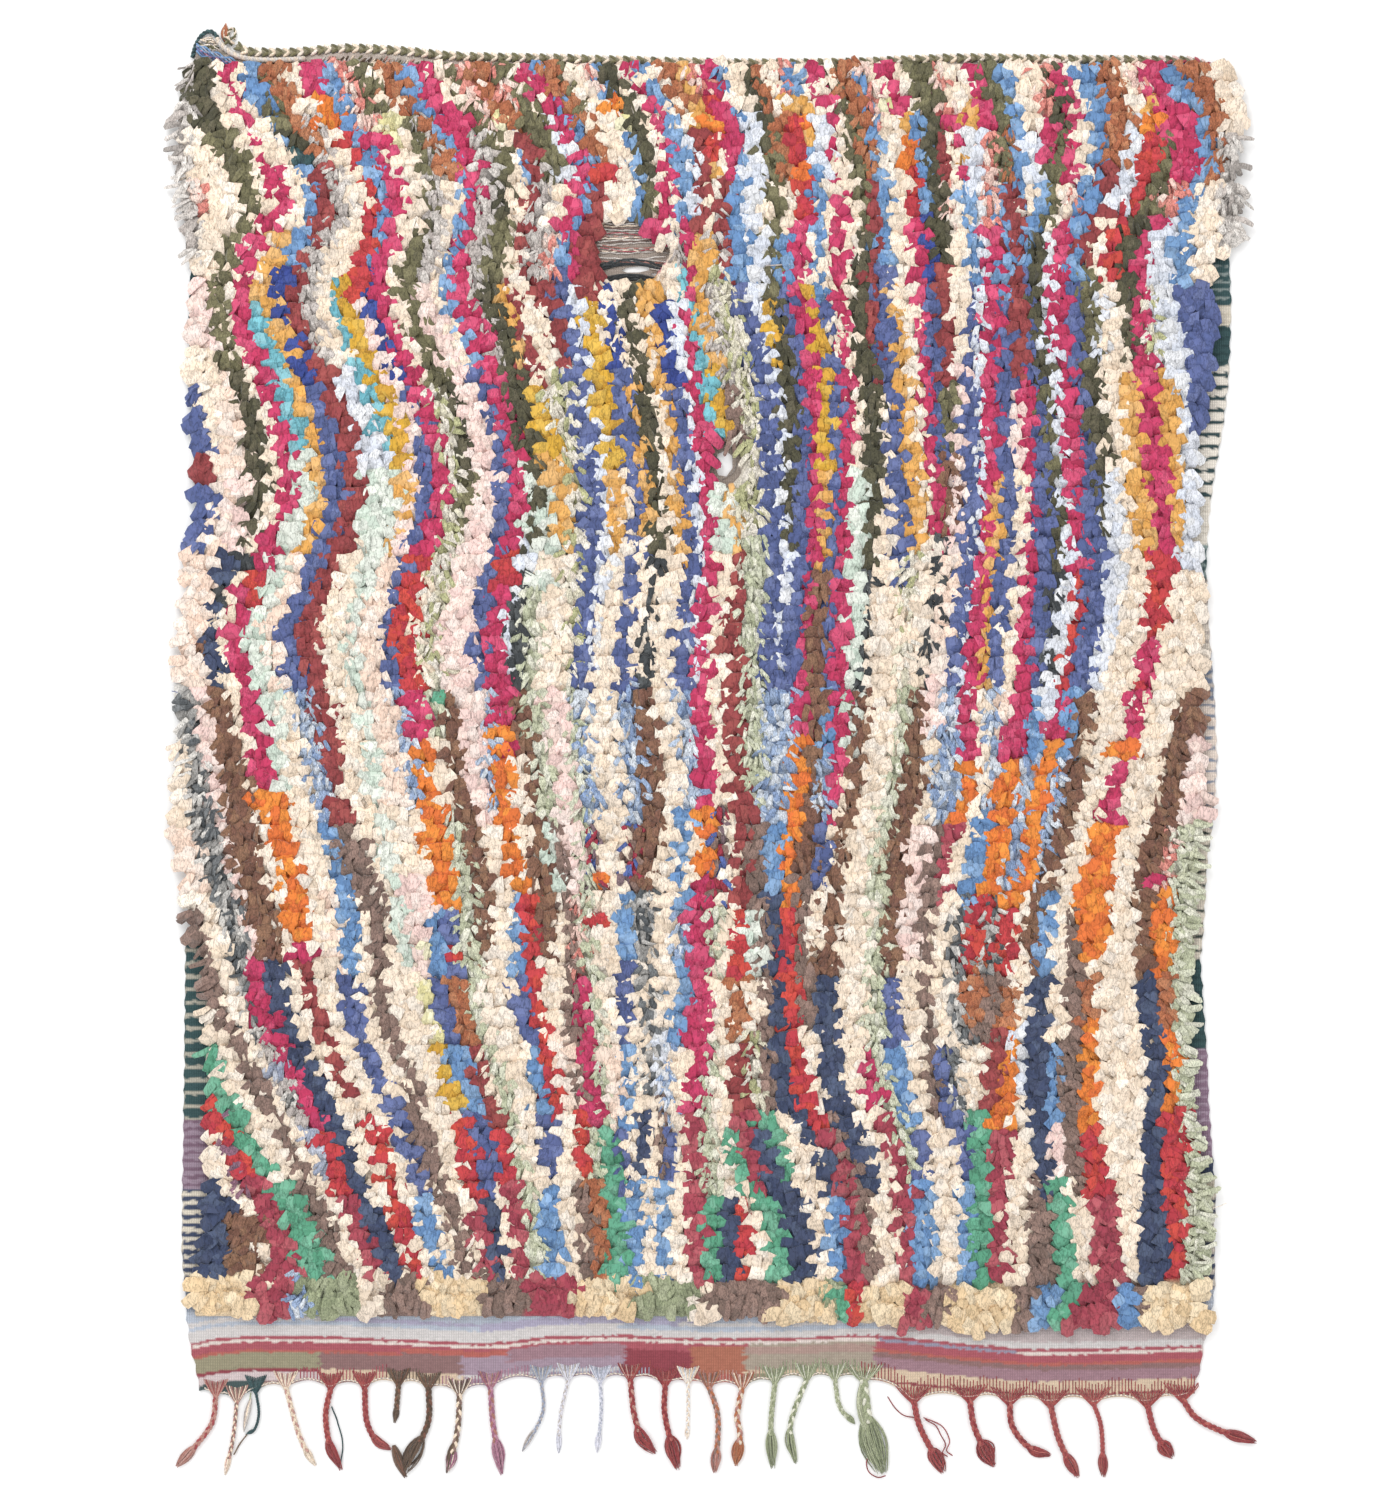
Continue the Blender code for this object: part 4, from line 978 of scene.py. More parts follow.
def knots(settings):
    """Every knot of the pile: its place on the cartoon, its width, its colour's name and its size."""
    field = StripeField()
    rng = np.random.default_rng(4)
    pitch = settings.row_pitch / CARTOON_UNIT
    width = settings.knot_width / CARTOON_UNIT
    found = []
    for down in np.arange(PILE_TOP + pitch / 2, PILE_END - pitch / 2, pitch):
        blocks = down > BLOCK_TOP
        if blocks:
            names, rights = read_row(BLOCKS)
            edges = np.concatenate([[196.0], rights])
        else:
            names, edges = field.at(down)
        low = side_at(LEFT_SIDE, "edge", down) + side_at(LEFT_SIDE, "bare", down)
        high = side_at(RIGHT_SIDE, "edge", down) - side_at(RIGHT_SIDE, "bare", down)
        if blocks:
            low, high = low + 4.0, high - 6.0
        stray = 7.0 if blocks else 1.2
        edges = np.clip(edges + rng.uniform(-stray, stray, len(edges)), low, high)
        edges[0], edges[-1] = low, high
        for name, left, right in zip(names, edges, edges[1:]):
            room = right - left
            if room < 2.5:
                continue
            count = max(1, round(room / width))
            middles = left + (np.arange(count) + 0.5) * room / count
            for x in middles:
                sunk = np.interp(x, (600, 700, 860, 940), (-7, -2, 0, 9)) + rng.uniform(-3,
                    3) if blocks else 0.0
                found.append((x, down + sunk + rng.uniform(-2.5, 2.5), room / count, name, blocks))
    return [recoloured(knot) for knot in found if not worn(knot[0], knot[1])]


def recoloured(knot):
    """A knot with the colour of the clump that it is in, if it is in one."""
    x, down = knot[:2]
    for clump in CLUMPS:
        if math.hypot((x - clump.x) / clump.half_width, (down - clump.y) / clump.half_length) < 1:
            return (*knot[:3], clump.colour, knot[4])
    return knot


def worn(x, down):
    """Whether the pile is worn off at a cartoon point."""
    return any(
        math.hypot((x - thin.x) / thin.half_width,
            (down - thin.y) / thin.half_length) < 1 for thin in THIN_PLACES
    )


def tuft_strips(some_knots, cut, settings, seed):
    """The strips of one cut's tufts: in each, wide strips lie low and narrower ones fan out over them."""
    rng = np.random.default_rng(seed)
    x, down, width, block = (np.array([knot[i] for knot in some_knots], float) for i in (0, 1, 2, 4))
    strips = cut.under + cut.upper
    each = np.repeat(np.arange(len(x)), strips)
    count = len(each)
    upper = np.tile(np.arange(strips) >= cut.under, len(x))
    share = np.concatenate([
        (np.arange(cut.under) + 0.5) / cut.under - 0.5,
        (np.arange(cut.upper) + 0.5) / cut.upper - 0.5,
    ])
    share = np.tile(share, len(x))
    knot_width = width[each] * CARTOON_UNIT
    size = rng.uniform(0.88, 1.14, count) * (1 + 0.10 * block[each])
    lay = lay_at(x, down)[each] + np.repeat(rng.normal(0, 0.12, len(x)), strips)
    spread = np.where(upper, 1.0, 0.45)
    heading = lay - np.pi / 2 + np.radians(cut.fan) * spread * (2 * share + rng.normal(0, 0.35, count))
    plan = metres(np.column_stack([x, down]))[each]
    across = np.column_stack([np.cos(lay), np.sin(lay)])
    plan = plan + across * (share * np.where(upper, 0.80, 0.55) * knot_width)[:, None]
    plan += rng.normal(0, 0.0014, plan.shape)
    upward = settings.row_pitch * np.where(upper, rng.uniform(-0.05, 0.50, count),
        rng.uniform(0.15, 0.45, count))
    plan += np.column_stack([-np.sin(lay), np.cos(lay)]) * upward[:, None]
    root = np.column_stack([plan, np.full(count, settings.ground_thickness * 0.8)])
    room = np.clip(knot_width, 0.009, 0.024)
    share_of_room = np.where(upper, cut.upper_width, cut.under_width)
    crest = np.where(upper, rng.uniform(0.70, 0.90, count), rng.uniform(0.56, 0.66, count))
    tip = np.where(upper, rng.uniform(0.24, 0.46, count), rng.uniform(0.18, 0.30, count))
    return {
        "root": root,
        "heading": heading,
        "length": settings.row_pitch * cut.length * size,
        "width": share_of_room * room * rng.uniform(0.82, 1.18, count),
        "crest": settings.pile_height * crest,
        "tip": settings.pile_height * tip,
        "roll": np.radians(cut.roll) * np.where(upper, 1.0, 0.35) * rng.normal(0, 1, count),
        "fold": cut.fold * rng.uniform(0.6, 1.2, count),
        "bend": rng.normal(0, 0.30, count),
        "crumple": rng.normal(0, 1, (count, 3 * STRIP_RINGS, 3)) * np.array([0.0008, 0.0008, 0.0012]),
    }


def strip_dyes(some_knots, cut, seed):
    """A colour for each strip: one of its rag's shades, a little lighter or darker."""
    rng = np.random.default_rng(seed)
    strips = cut.under + cut.upper
    dyes = []
    for knot in some_knots:
        shades = RAGS[knot[3]].shades
        picks = rng.integers(0, len(shades), strips)
        dyes += [linear(shades[pick]) for pick in picks]
    dyes = np.array(dyes)
    light = np.repeat(rng.normal(1.0, 0.04, len(some_knots)), strips) * rng.normal(1.0, 0.05, len(dyes))
    return dyes * light[:, None]


def inside(points, loop):
    """Which points lie in a closed loop: those with an odd number of its edges to their right."""
    x, y = points[:, :1], points[:, 1:]
    start, end = loop, np.roll(loop, -1, axis=0)
    rise = end[:, 1] - start[:, 1]
    rise = np.where(rise == 0, 1e-12, rise)
    crossing = start[:, 0] + (y - start[:, 1]) * (end[:, 0] - start[:, 0]) / rise
    spans = (start[:, 1] > y) != (end[:, 1] > y)
    return (spans & (crossing > x)).sum(axis=1) % 2 == 1


def in_cloth(points, loops):
    """Which points lie in the first loop and in none of the others, worked out in batches to spare memory."""
    kept = []
    for batch in np.array_split(points, max(1, len(points) // 4000)):
        good = inside(batch, loops[0])
        for hole in loops[1:]:
            good &= ~inside(batch, hole)
        kept.append(good)
    return np.concatenate(kept)


def off_rims(points, loops, least):
    """The points that lie more than least from every point of the loops, worked out in batches."""
    rim = np.vstack(loops)
    near = np.concatenate([
        np.linalg.norm(part[:, None] - rim[None], axis=2).min(axis=1)
        for part in np.array_split(points, len(points) // 1500)
    ])
    return points[near > least]


def triangles_over(points, edges, loops):
    """Constrained Delaunay triangles, facing up, that lie in the cloth, with their points."""
    found, _, faces, sources, _, _ = delaunay_2d_cdt([Vector(p) for p in points], edges, [], 0,
        MERGE_TOLERANCE)
    found = np.array([tuple(v) for v in found])
    faces = np.array(faces)
    a, b, c = found[faces[:, 0]], found[faces[:, 1]], found[faces[:, 2]]
    area = (b - a)[:, 0] * (c - a)[:, 1] - (b - a)[:, 1] * (c - a)[:, 0]
    faces = np.where((area < 0)[:, None], faces[:, ::-1], faces)
    return found, faces[in_cloth((a + b + c) / 3, loops)], sources


def loop_edges(loops):
    """The edges of closed loops whose points are numbered one loop after another."""
    edges, first = [], 0
    for loop in loops:
        count = len(loop)
        edges += [(first + i, first + (i + 1) % count) for i in range(count)]
        first += count
    return edges


def slab(loops, spots, height_of, side, floor):
    """A closed slab over loops: a top at height_of, a rim side high and an underside at floor."""
    plan, top, _ = triangles_over(np.vstack([*loops, spots]), loop_edges(loops), loops)
    edges = np.vstack([top[:, [0, 1]], top[:, [1, 2]], top[:, [2, 0]]])
    keys = np.sort(edges, axis=1)
    _, where, counts = np.unique(keys, axis=0, return_inverse=True, return_counts=True)
    rim = edges[counts[where.reshape(-1)] == 1]
    rim_points = np.unique(rim)
    place = np.full(len(plan), -1)
    place[rim_points] = np.arange(len(rim_points))
    back_plan, back, sources = triangles_over(plan[rim_points], place[rim].tolist(), loops)
    source = np.array([items[0] for items in sources])
    heights = height_of(plan)
    heights[rim_points] = side
    vertices = np.vstack(
        [np.column_stack([plan, heights]),
            np.column_stack([plan[rim_points], np.full(len(rim_points), floor)])]
    )
    below = place + len(plan)
    under = source[back[:, ::-1]] + len(plan)
    walls = np.column_stack([rim[:, 1], rim[:, 0], below[rim[:, 0]], below[rim[:, 1]]])
    return vertices, [top, under, walls]


def hem_line():
    """The hem from left to right: between two tassel roots it rises in a low arch."""
    left, right = LEFT_SIDE[-1], RIGHT_SIDE[-1]
    roots = [(left.edge, left.down + 7.0)]
    roots += [(tassel.root_x, tassel.root_y) for tassel in TASSELS]
    roots.append((right.edge, right.down + 7.0))
    roots = np.array(roots, float)
    points = []
    for start, end in zip(roots, roots[1:]):
        gap = end[0] - start[0]
        count = max(2, round(gap / HEM_STEP))
        t = np.arange(count) / count
        rise = min(SCALLOP * gap, SCALLOP_MOST) * np.sin(np.pi * t)
        points.append(np.column_stack([start[0] + gap * t, start[1] + (end[1] - start[1]) * t - rise]))
    return np.vstack([*points, roots[-1:]])


def top_edge():
    """The cloth's top edge from left to right, just under the braid."""
    line = smooth_route(BRAID_LINE, 6.5)[3:]
    along = np.gradient(line, axis=0)
    along /= np.linalg.norm(along, axis=1)[:, None]
    drop = (0.0062 + PIECE_GAP) / CARTOON_UNIT
    under = line + np.column_stack([-along[:, 1], along[:, 0]]) * drop
    return np.vstack([TOP_LEFT_CORNER, under[under[:, 0] > TOP_LEFT_CORNER[-1][0] + 4][::3]])


def side_rim(table, outward, seed):
    """A side's rim from top to bottom: the small waves that the weft's turns make."""
    rng = np.random.default_rng(seed)
    down = np.arange(table[0].down, table[-1].down, 5.0)
    wave = outward * 0.8 * np.sin(down * 0.9) + rng.uniform(-0.4, 0.4, len(down))
    x = side_at(table, "edge", down) - outward * 0.35 * side_at(table, "lock", down) + wave
    return np.vstack([np.column_stack([x, down]), [(table[-1].edge, table[-1].down)]])


def ellipse(hole, count=28, ragged=0.12):
    """A closed ragged loop round a worn hole."""
    angle = np.arange(count) * 2 * math.pi / count
    reach = 1 - ragged * np.abs(np.sin(angle * 3.5 + hole.x))
    long_way = hole.half_length * np.cos(angle) * reach
    short_way = hole.half_width * np.sin(angle) * reach
    cos, sin = math.cos(math.radians(hole.turn)), math.sin(math.radians(hole.turn))
    return np.column_stack([hole.x + long_way * cos - short_way * sin,
        hole.y + long_way * sin + short_way * cos])


# Bare selvedges: from, to, the weft's colour, the colour of its thin lines, their pitch and their share
Weft = namedtuple("Weft", "start end ground line pitch share")
LEFT_WEFTS = (
    Weft(60, 262, "#C9BFB6", "#A9A29C", 9, 0.3),
    Weft(262, 420, "#3A5557", "#2F4749", 6, 0.3),
    Weft(420, 600, "#5B7573", "#CFC6B8", 9, 0.4),
    Weft(600, 930, "#C9C0B8", "#5A6A6C", 12, 0.3),
    Weft(930, 1120, "#3A5557", "#B9B4A6", 13, 0.28),
    Weft(1120, 1190, "#A08C9C", "#7F6577", 8, 0.4),
    Weft(1190, 1280, "#E6DCCB", "#46506A", 9, 0.5),
    Weft(1280, 1330, "#9FA9B8", "#7F8AA0", 7, 0.3),
)
RIGHT_WEFTS = (
    Weft(60, 252, "#D8D2C6", "#B9B4AC", 9, 0.3),
    Weft(252, 305, "#3A5557", "#8F9A98", 8, 0.25),
    Weft(305, 325, "#E6DCCB", "#D8CDBB", 8, 0.3),
    Weft(325, 365, "#3A5557", "#2F4749", 8, 0.3),
    Weft(365, 500, "#ECE4D8", "#33494C", 12, 0.34),
    Weft(500, 545, "#EFE7DA", "#DCD2C2", 7, 0.2),
    Weft(545, 580, "#8FA09E", "#3A5557", 9, 0.4),
    Weft(580, 650, "#ECE2D6", "#B5ABA5", 10, 0.35),
    Weft(650, 700, "#7E8AA0", "#C9C0B8", 9, 0.3),
    Weft(700, 830, "#EBDCD0", "#8A93A4", 11, 0.25),
    Weft(830, 960, "#E9DECF", "#46504C", 13, 0.22),
    Weft(960, 1050, "#3A5557", "#2F4749", 8, 0.3),
    Weft(1050, 1160, "#8C7286", "#A995A6", 8, 0.3),
    Weft(1160, 1180, "#46506A", "#37415F", 8, 0.3),
    Weft(1180, 1200, "#E9DECF", "#D8CDBB", 8, 0.3),
    Weft(1200, 1290, "#D9CFC4", "#46506A", 11, 0.45),
    Weft(1290, 1330, "#C9CFDA", "#A9B2C4", 7, 0.3),
)
# The flat-woven end's thin white line across the rug, and its bands, in cartoon units below that line: how
# far down each goes and its colours from left to right
END_LINE = (
    (186, 1350), (215, 1344), (250, 1341.5), (330, 1342), (420, 1346), (480, 1349), (510, 1347), (545, 1342),
    (620, 1340.5), (700, 1344), (800, 1343), (850, 1340.5), (880, 1341), (960, 1349), (1030, 1355), (1100,
        1354),
    (1200, 1351),
)
EndBand = namedtuple("EndBand", "end colours")
END_BANDS = (
    EndBand(-24, "bluegrey 900 mauvegrey 1300"),
    EndBand(-20, "pale 330 violet 700 bluegrey 900 mauvegrey 1300"),
    EndBand(-16, "bluegrey 480 violet 680 pale 900 mauvegrey 1300"),
    EndBand(-11, "pale 620 bluegrey 880 mauvegrey 1300"),
    EndBand(-4.6, "pale 1300"),
    EndBand(-1.6, "rose 1300"),
    EndBand(1.4, "white 880 slate 1020 white 1300"),
    EndBand(4, "rose 745 greige 875 rose 1300"),
    EndBand(9, "rose 400 salmon 505 mauve 625 rose 690 terracotta 745 rosegrey 875 rose 1300"),
    EndBand(12,
        "salmon 400 taupe 460 lavender 508 mauve 625 wine 690 terracotta 745 rosegrey 875 salmon 1300"),
    EndBand(17, "sage 320 taupe 460 lavender 508 mauve 625 wine 690 terracotta 745 greige 875 taupe 1300"),
    EndBand(28, "sage 320 taupe 460 lavender 625 wine 690 terracotta 745 greige 875 mauve 1300"),
    EndBand(31, "wine 320 cream 460 pale 625 wine 690 terracotta 745 cream 1300"),
    EndBand(40, "palemauve 320 cream 460 lavender 625 wine 690 salmon 745 sage 875 cream 1300"),
    EndBand(42, "teal 262 taupe 460 lavender 625 wine 745 sage 875 wine 1300"),
    EndBand(90, "teal 262 sand 460 lavender 625 wine 745 sage 875 cream 1300"),
)
END_COLOURS = {
    "cream": "#DDC6AC",
    "sand": "#C9AF9C",
    "white": "#E6D9D2",
    "pale": "#D8D3D2",
    "palemauve": "#D6C6C6",
    "bluegrey": "#BCC4D2",
    "violet": "#B4AFC6",
    "mauvegrey": "#C6B8B8",
    "slate": "#9C98AC",
    "rose": "#AE5C66",
    "salmon": "#B8685F",
    "rosegrey": "#B1958C",
    "wine": "#934650",
    "mauve": "#A3808A",
    "lavender": "#A893A2",
    "taupe": "#91706F",
    "terracotta": "#B0705C",
    "greige": "#AC9F90",
    "sage": "#9C957C",
    "teal": "#4A5B5B",
}


def weft_colours(wefts, down, rng):
    """Colours of selvedge points: each weft band's own, with thin lines of another at their pitch."""
    colours = np.tile(linear("#CDBFB2"), (len(down), 1))
    for weft in wefts:
        here = (down >= weft.start) & (down < weft.end)
        line = ((down + rng.uniform(-0.8, 0.8, len(down))) % weft.pitch) / weft.pitch < weft.share
        colours[here] = linear(weft.ground)
        colours[here & line] = linear(weft.line)
    return colours


def end_colours(x, down, rng):
    """Colours of points of the flat-woven end, by how far below its white line they lie."""
    colours = np.zeros((len(x), 3))
    below = down - np.interp(x, *np.array(END_LINE).T) + rng.uniform(-0.5, 0.5, len(x))
    top = -90.0
    for band in END_BANDS:
        names, rights = read_row(band.colours)
        names = np.array(names)
        here = (below >= top) & (below < band.end)
        picks = names[np.minimum(np.searchsorted(rights, x + rng.uniform(-3, 3, len(x))), len(names) - 1)]
        for name in set(picks[here]):
            colours[here & (picks == name)] = linear(END_COLOURS[name])
        top = band.end
    return colours


def cloth_spots(loop):
    """Points of the cloth: close together on the selvedges and the flat end, and wide apart under the pile."""
    found = []
    for down in np.arange(64.0, 1330.0, 1.7):
        left = side_at(LEFT_SIDE, "edge", down)
        right = side_at(RIGHT_SIDE, "edge", down)
        for start, width, outward in ((left, side_at(LEFT_SIDE, "bare", down), 1),
                                      (right, side_at(RIGHT_SIDE, "bare", down), -1)):
            steps = np.arange(3.0, width + 16.0, 4.0)
            found.append(np.column_stack([start + outward * steps, np.full(len(steps), down)]))
    found.append(np.stack(np.meshgrid(np.arange(232, 1180, 24.0), np.arange(74, 1320, 24.0)),
        -1).reshape(-1, 2))
    found.append(np.stack(np.meshgrid(np.arange(190, 1210, 3.2), np.arange(1318, 1408, 1.8)),
        -1).reshape(-1, 2))
    found.append(np.stack(np.meshgrid(np.arange(196, 1230, 5.0), np.arange(47, 70, 2.4)), -1).reshape(-1, 2))
    found.append(np.stack(np.meshgrid(np.arange(586, 670, 3.0), np.arange(230, 290, 1.7)), -1).reshape(-1, 2))
    spots = np.vstack(found)
    rng = np.random.default_rng(3)
    spots += rng.uniform(-0.25, 0.25, spots.shape)
    return spots


class RUG_OT_ground(bpy.types.Operator):
    """Weaves the ground cloth with its selvedges, heading, flat end and worn places"""

    bl_idname = "rug.ground"
    bl_label = "Ground cloth"

    def execute(self, context):
        settings = context.scene.rug
        outline = np.vstack([top_edge(), side_rim(RIGHT_SIDE, 1, 5), hem_line()[::-1],
                             side_rim(LEFT_SIDE, -1, 6)[::-1]])
        holes = [ellipse(hole) for hole in WORN_HOLES]
        loops = [outline, *holes]
        spots = cloth_spots(outline)
        spots = spots[in_cloth(spots, loops)]
        spots = off_rims(spots, loops, 1.6)
        thickness = settings.ground_thickness

        def height_of(plan):
            return np.full(len(plan), thickness)

        vertices, faces = slab([metres(loop) for loop in loops], metres(spots), height_of, thickness,
            PIECE_GAP)
        cartoon = np.column_stack([vertices[:, 0] / CARTOON_UNIT + CARTOON_MIDDLE[0],
                                   CARTOON_MIDDLE[1] - vertices[:, 1] / CARTOON_UNIT])
        dye = self.colours(cartoon)
        piece = put_mesh("ground_cloth", vertices, faces, dye, woven_material(), smooth=False)
        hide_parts("rug_body")
        return {"FINISHED"}

    def colours(self, cartoon):
        """The weft's colours at cartoon points: selvedges, heading, worn patch and flat end."""
        rng = np.random.default_rng(9)
        x, down = cartoon.T
        middle = (side_at(LEFT_SIDE, "edge", down) + side_at(RIGHT_SIDE, "edge", down)) / 2
        dye = np.where((x < middle)[:, None], weft_colours(LEFT_WEFTS, down, rng),
            weft_colours(RIGHT_WEFTS, down, rng))
        far = (x > side_at(LEFT_SIDE, "edge", down) + 60) & (x < side_at(RIGHT_SIDE, "edge", down) - 60)
        dye[far] = linear("#A79A90")
        top = np.interp(x, *top_edge().T)
        heading = down < top + 10
        tints = np.array([linear(tint) for tint in ("#CDC0B6", "#BBADA3", "#D6CCC0", "#A3988A")])
        dye[heading] = tints[rng.choice(4, heading.sum(), p=(0.4, 0.25, 0.2, 0.15))]
        ends = down > PILE_END - 10
        dye[ends] = end_colours(x[ends], down[ends], rng)
        return dye * rng.normal(1.0, 0.05, len(dye))[:, None]


class RUG_OT_pile(bpy.types.Operator):
    """Knots the rag pile: for each cut of rag, tufts of strips that rise and fall over along the lay"""

    bl_idname = "rug.pile"
    bl_label = "Rag pile"

    def execute(self, context):
        settings = context.scene.rug
        every = knots(settings)
        materials = {
            # Woven cotton sheeting torn in strips: matt, with sharp crumples
            "cotton": rag_material("torn cotton sheeting", 0.92, 0.10, 7.0, 1.6, 0.10),
            # Cut jersey: softer folds and a faint bloom
            "jersey": rag_material("cut cotton jersey", 0.85, 0.22, 9.0, 1.8, 0.10),
            # Unravelled wool and flannel: fuzzy, no gloss
            "wool": rag_material("frayed wool flannel", 0.97, 0.35, 4.0, 1.4, 0.22),
            # Printed and marled cloth cut in thin curls
            "fleck": rag_material("marled cotton print", 0.93, 0.15, 4.0, 1.5, 0.25),
        }
        for number, (cut_name, cut) in enumerate(CUTS.items()):
            mine = [knot for knot in every if RAGS[knot[3]].cut == cut_name]
            if not mine:
                raise RuntimeError(f"no knots for {cut_name}")
            most = MOST_TRIANGLES // (STRIP_RINGS * 6 * (cut.under + cut.upper))
            parts = math.ceil(len(mine) / most)
            for part in range(parts):
                some = mine[part * len(mine) // parts:(part + 1) * len(mine) // parts]
                seed = 100 + 10 * number + part
                strips = tuft_strips(some, cut, settings, seed)
                dyes = strip_dyes(some, cut, seed + 500)
                name = f"pile_{cut_name}_{part + 1}"
                piece = put_tongues(name, strips, dyes, STRIP_RINGS, materials[cut_name])
                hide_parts("rug_body")
        print("knots", len(every))
        return {"FINISHED"}


def tubes(paths, radii, sides, flat=1.0):
    """Closed round tubes along paths, all as one array, with the faces that join their points.

    paths holds for each tube an equal number of points, and radii a radius for each point. Round a point, at an
    angle a, the surface is the point + radius * (cos a * sideways + sin a * flat * upwards), where sideways is
    level and square to the path. Each end is closed by one point, half a radius out.
    """
    count, samples = paths.shape[:2]
    along = np.gradient(paths, axis=1)
    along /= np.linalg.norm(along, axis=2, keepdims=True) + 1e-12
    sideways = np.stack([-along[..., 1], along[..., 0], np.zeros(along.shape[:2])], axis=-1)
    sideways /= np.linalg.norm(sideways, axis=2, keepdims=True) + 1e-9
    upwards = np.cross(along, sideways)
    angle = np.arange(sides) * 2 * np.pi / sides
    ring = (
        sideways[:, :, None] * np.cos(angle)[None, None, :, None]
        + upwards[:, :, None] * flat * np.sin(angle)[None, None, :, None]
    ) * radii[:, :, None, None]
    body = (paths[:, :, None] + ring).reshape(count, samples * sides, 3)
    start = paths[:, :1] - along[:, :1] * radii[:, :1, None] * 0.5
    end = paths[:, -1:] + along[:, -1:] * radii[:, -1:, None] * 0.5
    points = np.concatenate([body, start, end], axis=1)
    a = np.arange(samples - 1)[:, None] * sides + np.arange(sides)[None]
    b = np.arange(samples - 1)[:, None] * sides + (np.arange(sides)[None] + 1) % sides
    quads = np.stack([a, b, b + sides, a + sides], axis=-1).reshape(-1, 4)
    here = np.arange(sides)
    after = (here + 1) % sides
    last = (samples - 1) * sides
    first_cap = np.column_stack([np.full(sides, samples * sides), after, here])
    last_cap = np.column_stack([np.full(sides, samples * sides + 1), last + here, last + after])
    first = (np.arange(count) * (samples * sides + 2))[:, None, None]
    triangles = np.vstack([first_cap, last_cap])
    faces = [(quads[None] + first).reshape(-1, 4), (triangles[None] + first).reshape(-1, 3)]
    return points, faces


class YarnHeap:
    """Gathers tubes with their colours, to be put into one piece."""

    def __init__(self):
        self.points, self.faces, self.dyes, self.total = [], [], [], 0

    def add(self, paths, radii, dyes, sides=6, flat=1.0):
        """Adds tubes along paths in metres; radii and dyes are given for each tube or for each of its points."""
        paths = np.asarray(paths, float)
        radii = np.broadcast_to(np.asarray(radii, float), paths.shape[:2])
        points, faces = tubes(paths, radii, sides, flat)
        self.points.append(points.reshape(-1, 3))
        self.faces += [block + self.total for block in faces]
        dyes = np.broadcast_to(np.asarray(dyes, float), (len(paths), 3))
        self.dyes.append(np.repeat(dyes, points.shape[1], axis=0))
        self.total += points.shape[0] * points.shape[1]

    def put(self, name, material):
        """Puts the gathered tubes into the scene as one piece."""
        return put_mesh(name, np.vstack(self.points), self.faces, np.vstack(self.dyes), material)


def resampled(route, count):
    """A route's points at count even steps along it."""
    steps = np.linalg.norm(np.diff(route, axis=0), axis=1)
    length = np.concatenate([[0.0], np.cumsum(steps)])
    at = np.linspace(0, length[-1], count)
    return np.column_stack([np.interp(at, length, route[:, i]) for i in range(route.shape[1])]), length[-1]


def level_across(route):
    """The level directions square to a plan route, to its left."""
    along = np.gradient(route, axis=0)
    along /= np.linalg.norm(along, axis=1)[:, None] + 1e-12
    return np.column_stack([-along[:, 1], along[:, 0]])


def plait(route, height, swing, lift, turn_length, plies):
    """The paths of a plait's plies: each swings to and fro across the route and rises twice in every swing.

    At a distance s along the route, ply k of n lies swing * sin(w) to the left and lift * sin(2 * w) above
    height, where w = 2 * pi * (s / turn_length + k / n).
    """
    steps = np.linalg.norm(np.diff(route, axis=0), axis=1)
    s = np.concatenate([[0.0], np.cumsum(steps)])
    across = level_across(route)
    paths = []
    for k in range(plies):
        w = 2 * np.pi * (s / turn_length + k / plies)
        plan = route + across * (swing * np.sin(w))[:, None]
        paths.append(np.column_stack([plan, height + lift * np.sin(2 * w)]))
    return np.stack(paths)


def twist(route, height, radius, turn_length, plies):
    """The paths of a cord's plies: helices of the given radius round the route."""
    steps = np.linalg.norm(np.diff(route, axis=0), axis=1)
    s = np.concatenate([[0.0], np.cumsum(steps)])
    across = level_across(route)
    paths = []
    for k in range(plies):
        w = 2 * np.pi * (s / turn_length + k / plies)
        plan = route + across * (radius * np.cos(w))[:, None]
        paths.append(np.column_stack([plan, height + radius * np.sin(w)]))
    return np.stack(paths)


def shade_of(name, rng):
    """One of a rag's or a yarn's shades, a little lighter or darker."""
    shades = RAGS[name].shades
    return linear(shades[rng.integers(0, len(shades))]) * rng.normal(1.0, 0.05)


def brush_strands(heap, route, half_width, height, count, names, rng):
    """Cut strands that spread from a route's start, swell to half_width and close a little at their ends."""
    samples = 8
    middle, length = resampled(route, samples)
    across = level_across(middle)
    t = np.linspace(0, 1, samples)
    spread = half_width * (0.28 + 0.80 * np.sin(np.pi * t**0.85))
    paths, radii, dyes = [], [], []
    for _ in range(count):
        share, rise = rng.uniform(-1, 1), rng.uniform(0.12, 1.0)
        reach = rng.uniform(0.80, 1.04)
        wander = np.cumsum(rng.normal(0, 0.10, samples)) * half_width * 0.35
        line = middle[0] + (middle - middle[0]) * reach
        plan = line + across * (share * spread * np.sqrt(1 - 0.6 * rise**2) + wander * t)[:, None]
        z = 0.0012 + height * rise * (0.45 + 0.55 * np.sin(np.pi * np.clip(t * 0.8, 0, 1)))
        paths.append(np.column_stack([plan, z]))
        radii.append(0.00105 * np.interp(t, [0, 0.7, 1], [1, 1, 0.45]))
        # Painted shade: strands that lie low are darker and those on top lighter
        dyes.append(shade_of(names[rng.integers(0, len(names))], rng) * (0.86 + 0.18 * rise))
    heap.add(np.stack(paths), np.stack(radii), np.stack(dyes), sides=4)


